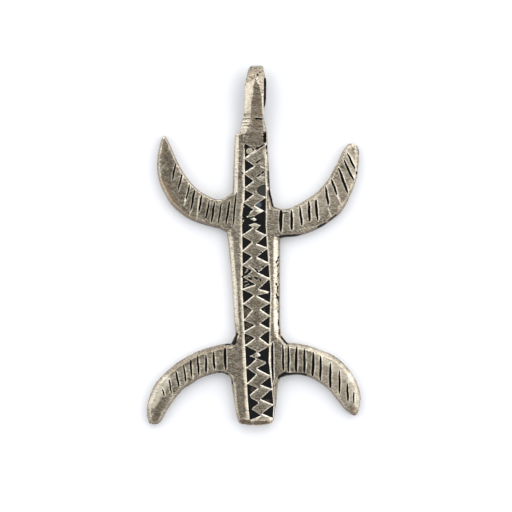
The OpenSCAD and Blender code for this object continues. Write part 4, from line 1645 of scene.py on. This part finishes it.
    def cutters_of(self, strokes: list[Stroke], grid: np.ndarray) -> list[bpy.types.Object]:
        """Models the cutters of strokes.

        Args:
            strokes: The strokes.
            grid: Grid that gives the height of the face at each one's middle.

        Returns:
            One solid for each.
        """
        tops = self.relief.read(grid, np.array([[(s.x1 + s.x2) / 2, (s.y1 + s.y2) / 2] for s in strokes]))
        return [stroke.cutter(float(top)) for stroke, top in zip(strokes, tops)]

    def engrave(self, body: bpy.types.Object) -> None:
        """Cuts the pockets' sharp walls and the lines across the limbs, then breaks, slips and nicks.

        Args:
            body: The dense mesh.
        """
        high = self.face + self.over
        cutters = self.cutters_of(self.lines, self.relief.closed)
        low = self.face - self.pocket_depth
        cutters += [Bench.prism(pocket.grown(self.wall_gap), low, high) for pocket in self.pockets]
        Bench.cut(body, cutters)
        low = self.face - self.break_depth
        for group in BREAKS:
            Bench.cut(body, [Bench.prism(outline, low, high) for outline in group])
        nicks = [Stroke(*row, wobble=self.nick_wobble) for row in NICKS]
        cutters = self.cutters_of(nicks, self.relief.ground)
        Bench.cut(body, [*cutters, *[Stroke(*row[:6]).cutter(row[6]) for row in SLIPS]])

    def stain(self, body: bpy.types.Object) -> None:
        """Works out dirt, wear and dull places, and where highlights and shade are painted.

        Args:
            body: The finished mesh.
        """
        points, normals = points_of(body), normals_of(body)
        coat = Coat(points, normals, soft_step(normals[:, 2], *self.wear.marked))
        self.weather(body, coat)
        self.stain_band(coat)
        slips = [Stroke(*row[:6], burr=self.wear.slip_burr) for row in [*SLIPS, *NICKS]]
        self.blacken_cuts(coat, self.lines, self.wear.line_dirt)
        self.blacken_cuts(coat, slips, self.wear.slip_dirt)
        for mark in MARKS:
            coat.take(mark)
        self.stain_remnants(coat)
        strap = soft_stretch(points[:, 1], self.wear.strap_rise, self.wear.strap_fall)
        strap = strap * (1 - soft_step(points[:, 2], *self.wear.strap_top))
        coat.raise_to("dirt_and_shade", strap * soft_step(normals[:, 2], *self.wear.strap_slant))
        coat.lay_on(body)

    def weather(self, body: bpy.types.Object, coat: Coat) -> None:
        """Blackens the band's pockets, paints highlights on ridges and slopes, and shade on sides.

        Args:
            body: The finished mesh.
            coat: What lies on it.
        """
        wear, points, normals = self.wear, coat.points, coat.normals
        band = np.abs(points[:, 0] - self.band_middle) < self.band_half
        band = band * (points[:, 1] < self.band_head[1]) * (points[:, 2] > self.face_from / 2)
        dirt_and_shade = soft_step(self.relief.depth(points, normals, wear.ahead), *wear.black_depth) * band
        bend = spread(body, bend_at(body), 2)
        ridges = soft_step(bend, *wear.ridge) * (1 - dirt_and_shade) * np.where(band, 1.0, wear.ridge_share)
        slopes = soft_step(1 - normals[:, 2], *wear.slope) * band
        # painted highlights on ridges, which wear also brightens, and on slopes in the band, stronger
        # towards the loop
        bright = np.maximum(ridges, slopes * np.where(normals[:, 1] > 0, *wear.slope_shares))
        # painted shade on the limbs' sides that face the tail, and on all steep sides
        low_side = soft_step(-normals[:, 1], *wear.tailward_shade_slant) * (1 - band)
        coat.rubbed_and_highlight = bright * (1 - wear.tailward_highlight_loss * low_side)
        dull_and_shade = low_side * wear.tailward_shade_share
        coat.dull_and_shade = dull_and_shade + soft_step(-normals[:, 2], *wear.steep_side) * wear.steep_share * (1 - dull_and_shade)
        coat.dirt_and_shade = dirt_and_shade + soft_step(-normals[:, 1], *wear.tailward_black_slant) * wear.tailward_black_share * (1 - band)

    def stain_band(self, coat: Coat) -> None:
        """Paints highlights on the border ridges, the chamfers and the lozenges' corners.

        Args:
            coat: What lies on the body.
        """
        wear, points = self.wear, coat.points
        on_face = points[:, 2] > self.face_from
        for side in Side:
            # painted highlight on the border ridges
            coat.raise_to("rubbed_and_highlight", self.border_line(side, points))
        for pocket in self.pockets:
            shoulder = pocket.outside(Edge.BORDER, self.chamfer(pocket, Edge.BORDER)[0], points)
            coat.dirt_and_shade = coat.dirt_and_shade * (1 - shoulder * on_face)
            coat.raise_to("polish", wear.smooth_border * shoulder)
            # painted highlights on the chamfers and on the lozenges' upper corners
            for edge, bright in wear.chamfers.items():
                width = sum(self.chamfer(pocket, edge)) / 2
                coat.raise_to("rubbed_and_highlight", bright * pocket.outside(edge, width, points) * on_face)
            width, fade = wear.pale_width
            pale = pocket.outside(Edge.UPPER_OF_LOZENGE, width, points, fade)
            coat.raise_to("rubbed_and_highlight", wear.pale[pocket.side] * pale * coat.up)
            share, width, fade = wear.warm
            warm = pocket.outside(Edge.LOWER_OF_LOZENGE, width, points, fade)
            coat.raise_to("blush", share * warm * coat.up)

    def blacken_cuts(self, coat: Coat, cuts: list[Stroke], inwards: Pair) -> None:
        """Fills cuts with dirt and paints highlights on their rims.

        Args:
            coat: What lies on the body.
            cuts: The cuts.
            inwards: Distances inwards from the rim at which the dirt sets in and is full.
        """
        wear = self.wear
        for cut in cuts:
            away, side = cut.beside(coat.points)
            # painted highlight on the rim of the cut
            rim = np.exp(-((np.maximum(away, 0) / wear.rim) ** 2)) * np.where(side > 0, 1.0, wear.left_rim)
            coat.raise_to("rubbed_and_highlight", rim * coat.up * cut.burr)
            dirt_and_shade = soft_step(-away, *inwards) * (coat.points[:, 2] > wear.line_dirt_above)
            coat.raise_to("dirt_and_shade", dirt_and_shade)

    def stain_remnants(self, coat: Coat) -> None:
        """Gives the silver left in the pockets its finish: blocks are bright, slivers dirty.

        Args:
            coat: What lies on the body.
        """
        wear, points = self.wear, coat.points
        for x, y, along, across, turn, _ in self.remnants:
            run = np.array([math.cos(math.radians(turn)), math.sin(math.radians(turn))])
            off = points[:, :2] - (x, y)
            reach = np.hypot(off @ run / along, off @ np.array([-run[1], run[0]]) / across)
            there = (reach < wear.remnant_share) & (points[:, 2] > wear.remnant_above)
            dirt_and_shade, rubbed_and_highlight = wear.block_finish if across > wear.block_radius else wear.sliver_finish
            coat.dirt_and_shade = np.where(there, dirt_and_shade, coat.dirt_and_shade)
            coat.rubbed_and_highlight = np.where(there, rubbed_and_highlight, coat.rubbed_and_highlight)
            coat.dull_and_shade = np.where(there, wear.remnant_dull, coat.dull_and_shade)


@dataclass
class NielloFilling:
    """The black fillings of the band's triangular pockets, and of the breaks between them."""

    top: float = 2.22
    bottom: float = 1.45
    # the breaks' fillings: bottom, how much lower they lie, and how much lower every second one
    break_bottom: float = 1.9
    break_drop: float = 0.03
    second_drop: float = 0.01
    # how far a filling reaches beyond its node, into the pocket's walls
    swell: float = 0.11
    # how finely the fillings are divided, and the size and height of the unevenness that
    # sets in between two heights
    cells: int = 8
    cloud: float = 0.9
    melt: float = 0.08
    face: Pair = (2.0, 2.15)
    crease: float = 40
    # share of a patch's radius at which it starts to fade
    full_share: float = 0.6
    # painted reflections on two fillings, grey on the first and blue-grey on the second: x, y, radius and
    # amount
    sheens: Rows = ((1.5, 11.4, 1.8, 0.48), (1.0, 8.5, 0.75, 0.9))
    # pockets in which some brown residue is left: x, y, radius and amount
    leftovers: Rows = (
        (-1.5, -5.3, 0.9, 0.25),
        (-1.6, -7.6, 0.7, 0.4),
        (-1.4, -13.9, 1.2, 1.0),
        (-1.1, -16.8, 1.0, 0.8),
        (-1.1, -19.6, 0.9, 0.7),
        (-0.2, -30.0, 0.8, 0.7),
        (2.9, -32.4, 0.8, 0.7),
        (2.2, -13.4, 0.5, 0.6),
    )

    def build(self, node: bpy.types.Object) -> bpy.types.Object:
        """Models the fillings.

        Args:
            node: The CAD node of the fillings.

        Returns:
            The finished mesh in metres.
        """
        outlines = [pocket.grown(self.swell) for pocket in Pocket.all_from(node)]
        blocks = [Bench.prism(outline, self.bottom, self.top) for outline in outlines]
        for number, outline in enumerate(outline for group in BREAKS for outline in group):
            top = self.top - self.break_drop - self.second_drop * (number % 2)
            blocks.append(Bench.prism(outline, self.break_bottom, top))
        filling = Bench.join(blocks)
        filling.name = "niello_filling"
        Bench.finish_with(filling, "TRIANGULATE")
        Bench.edit(filling)
        bpy.ops.mesh.subdivide(number_cuts=self.cells)
        Bench.close()
        clouds = bpy.data.textures.new("melt", "CLOUDS")
        clouds.noise_scale = self.cloud
        face = soft_step(points_of(filling)[:, 2], *self.face)
        push(filling, face * self.melt, 0.5, texture=clouds, texture_coords="LOCAL", direction="Z")
        self.colour_patches(filling, "residue", self.leftovers)
        self.colour_patches(filling, "sheen", self.sheens)
        Bench.to_metres(filling, self.crease)
        return filling

    def colour_patches(self, filling: bpy.types.Object, name: str, patches: Rows) -> None:
        """Paints round patches.

        Args:
            filling: The mesh.
            name: The attribute that the finish reads.
            patches: x, y, radius and amount of each.
        """
        points = points_of(filling)
        left = np.zeros(len(points))
        for x, y, radius, amount in patches:
            away = np.hypot(points[:, 0] - x, points[:, 1] - y)
            left = np.maximum(left, amount * (1 - soft_step(away, radius * self.full_share, radius)))
        paint(filling, name, left)


# The studio


@dataclass
class Studio:
    """White paper, a camera straight above, soft light from all sides and a dark patch overhead."""

    aim: Pair = (0.46, -2.2)
    view_width: float = 106.8
    lens: float = 100.0
    sensor: float = 24.0
    face_height: float = 2.0
    # the paper's size and how far it lies under the pendant, in metres
    paper: float = 6.0
    paper_drop: float = 0.00005
    # height of a direction over the horizon, as a sine, and the light that comes from there
    sky: tuple[Pair, ...] = ((0.0, 1.2), (0.2, 1.5), (0.5, 1.8), (0.82, 1.8), (0.92, 0.5), (1.0, 0.43))
    daylight: str = "#FCFDFF"
    # more light from the right and from above the loop than from the left and the tail
    lean: Point = (0.12, 0.12, 0.0)
    # the share of the light that comes from in front, and where along Y it is less
    front: float = 0.5
    front_stretch: Pair = (-0.8, -0.1)

    def build(self) -> None:
        """Sets up the camera, the floor and the sky."""
        Bench.clear()
        high = self.view_width * self.lens / self.sensor + self.face_height
        bpy.ops.object.camera_add(location=(self.aim[0] * MM, self.aim[1] * MM, high * MM))
        camera = bpy.context.object
        camera.data.lens, camera.data.sensor_width = self.lens, self.sensor
        camera.data.clip_start = 0.01
        bpy.context.scene.camera = camera
        Bench.clear()
        bpy.ops.mesh.primitive_plane_add(size=self.paper, location=(0, 0, -self.paper_drop))
        floor = bpy.context.object
        floor.name = "paper"
        bpy.ops.object.transform_apply(location=True, rotation=True, scale=True)
        Bench.dress(floor, Paper().material())
        self.light_sky()
        bpy.context.scene.view_settings.view_transform = "Standard"
        bpy.context.scene.view_settings.look = "None"

    def light_sky(self) -> None:
        """Makes the surroundings bright to the sides and dark overhead and in front."""
        world = bpy.data.worlds.new("studio")
        bpy.context.scene.world = world
        world.use_nodes = True
        tree = world.node_tree
        toward = add_node(tree, "ShaderNodeTexCoord").outputs["Generated"]
        split = add_node(tree, "ShaderNodeSeparateXYZ", {0: toward})
        top = max(light for _, light in self.sky)
        ramp = add_node(tree, "ShaderNodeValToRGB", {"Fac": split.outputs["Z"]})
        stops = ramp.color_ramp.elements
        while len(stops) < len(self.sky):
            stops.new(0.5)
        for stop, (height, light) in zip(stops, self.sky):
            stop.position, stop.color = height, [shade * light / top for shade in linear(self.daylight)]
        dot = add_node(tree, "ShaderNodeVectorMath", {0: toward, 1: self.lean}, operation="DOT_PRODUCT")
        low, high = self.front_stretch
        inputs = {"Value": split.outputs["Y"], "From Min": low, "From Max": high, "To Min": self.front}
        front = add_node(tree, "ShaderNodeMapRange", inputs, interpolation_type="SMOOTHSTEP")
        lean = add_node(tree, "ShaderNodeMath", {0: dot.outputs["Value"], 1: 1.0}, operation="ADD")
        inputs = {0: lean.outputs[0], 1: front.outputs["Result"]}
        sides = add_node(tree, "ShaderNodeMath", inputs, operation="MULTIPLY")
        strength = add_node(tree, "ShaderNodeMath", {0: sides.outputs[0], 1: top}, operation="MULTIPLY")
        background = tree.nodes["Background"]
        tree.links.new(ramp.outputs["Color"], background.inputs["Color"])
        tree.links.new(strength.outputs[0], background.inputs["Strength"])


# The whole


def main() -> None:
    """Builds the studio, the silver body and the fillings, and reports each piece."""
    logging.basicConfig(level=logging.INFO, format="%(message)s", force=True)
    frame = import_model()
    nodes = frame["nodes"]
    Studio().build()

    body = SilverBody().build(nodes["pendant"], nodes["niello"])
    Bench.dress(body, WornSilver().material())
    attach(body, "root")
    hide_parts("pendant")
    LOG.info("silver body: %d triangles", Bench.triangles(body))

    filling = NielloFilling().build(nodes["niello"])
    Bench.dress(filling, BlackFilling().material())
    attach(filling, "root")
    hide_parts("niello")
    LOG.info("niello filling: %d triangles", Bench.triangles(filling))


if __name__ == "__main__":
    main()
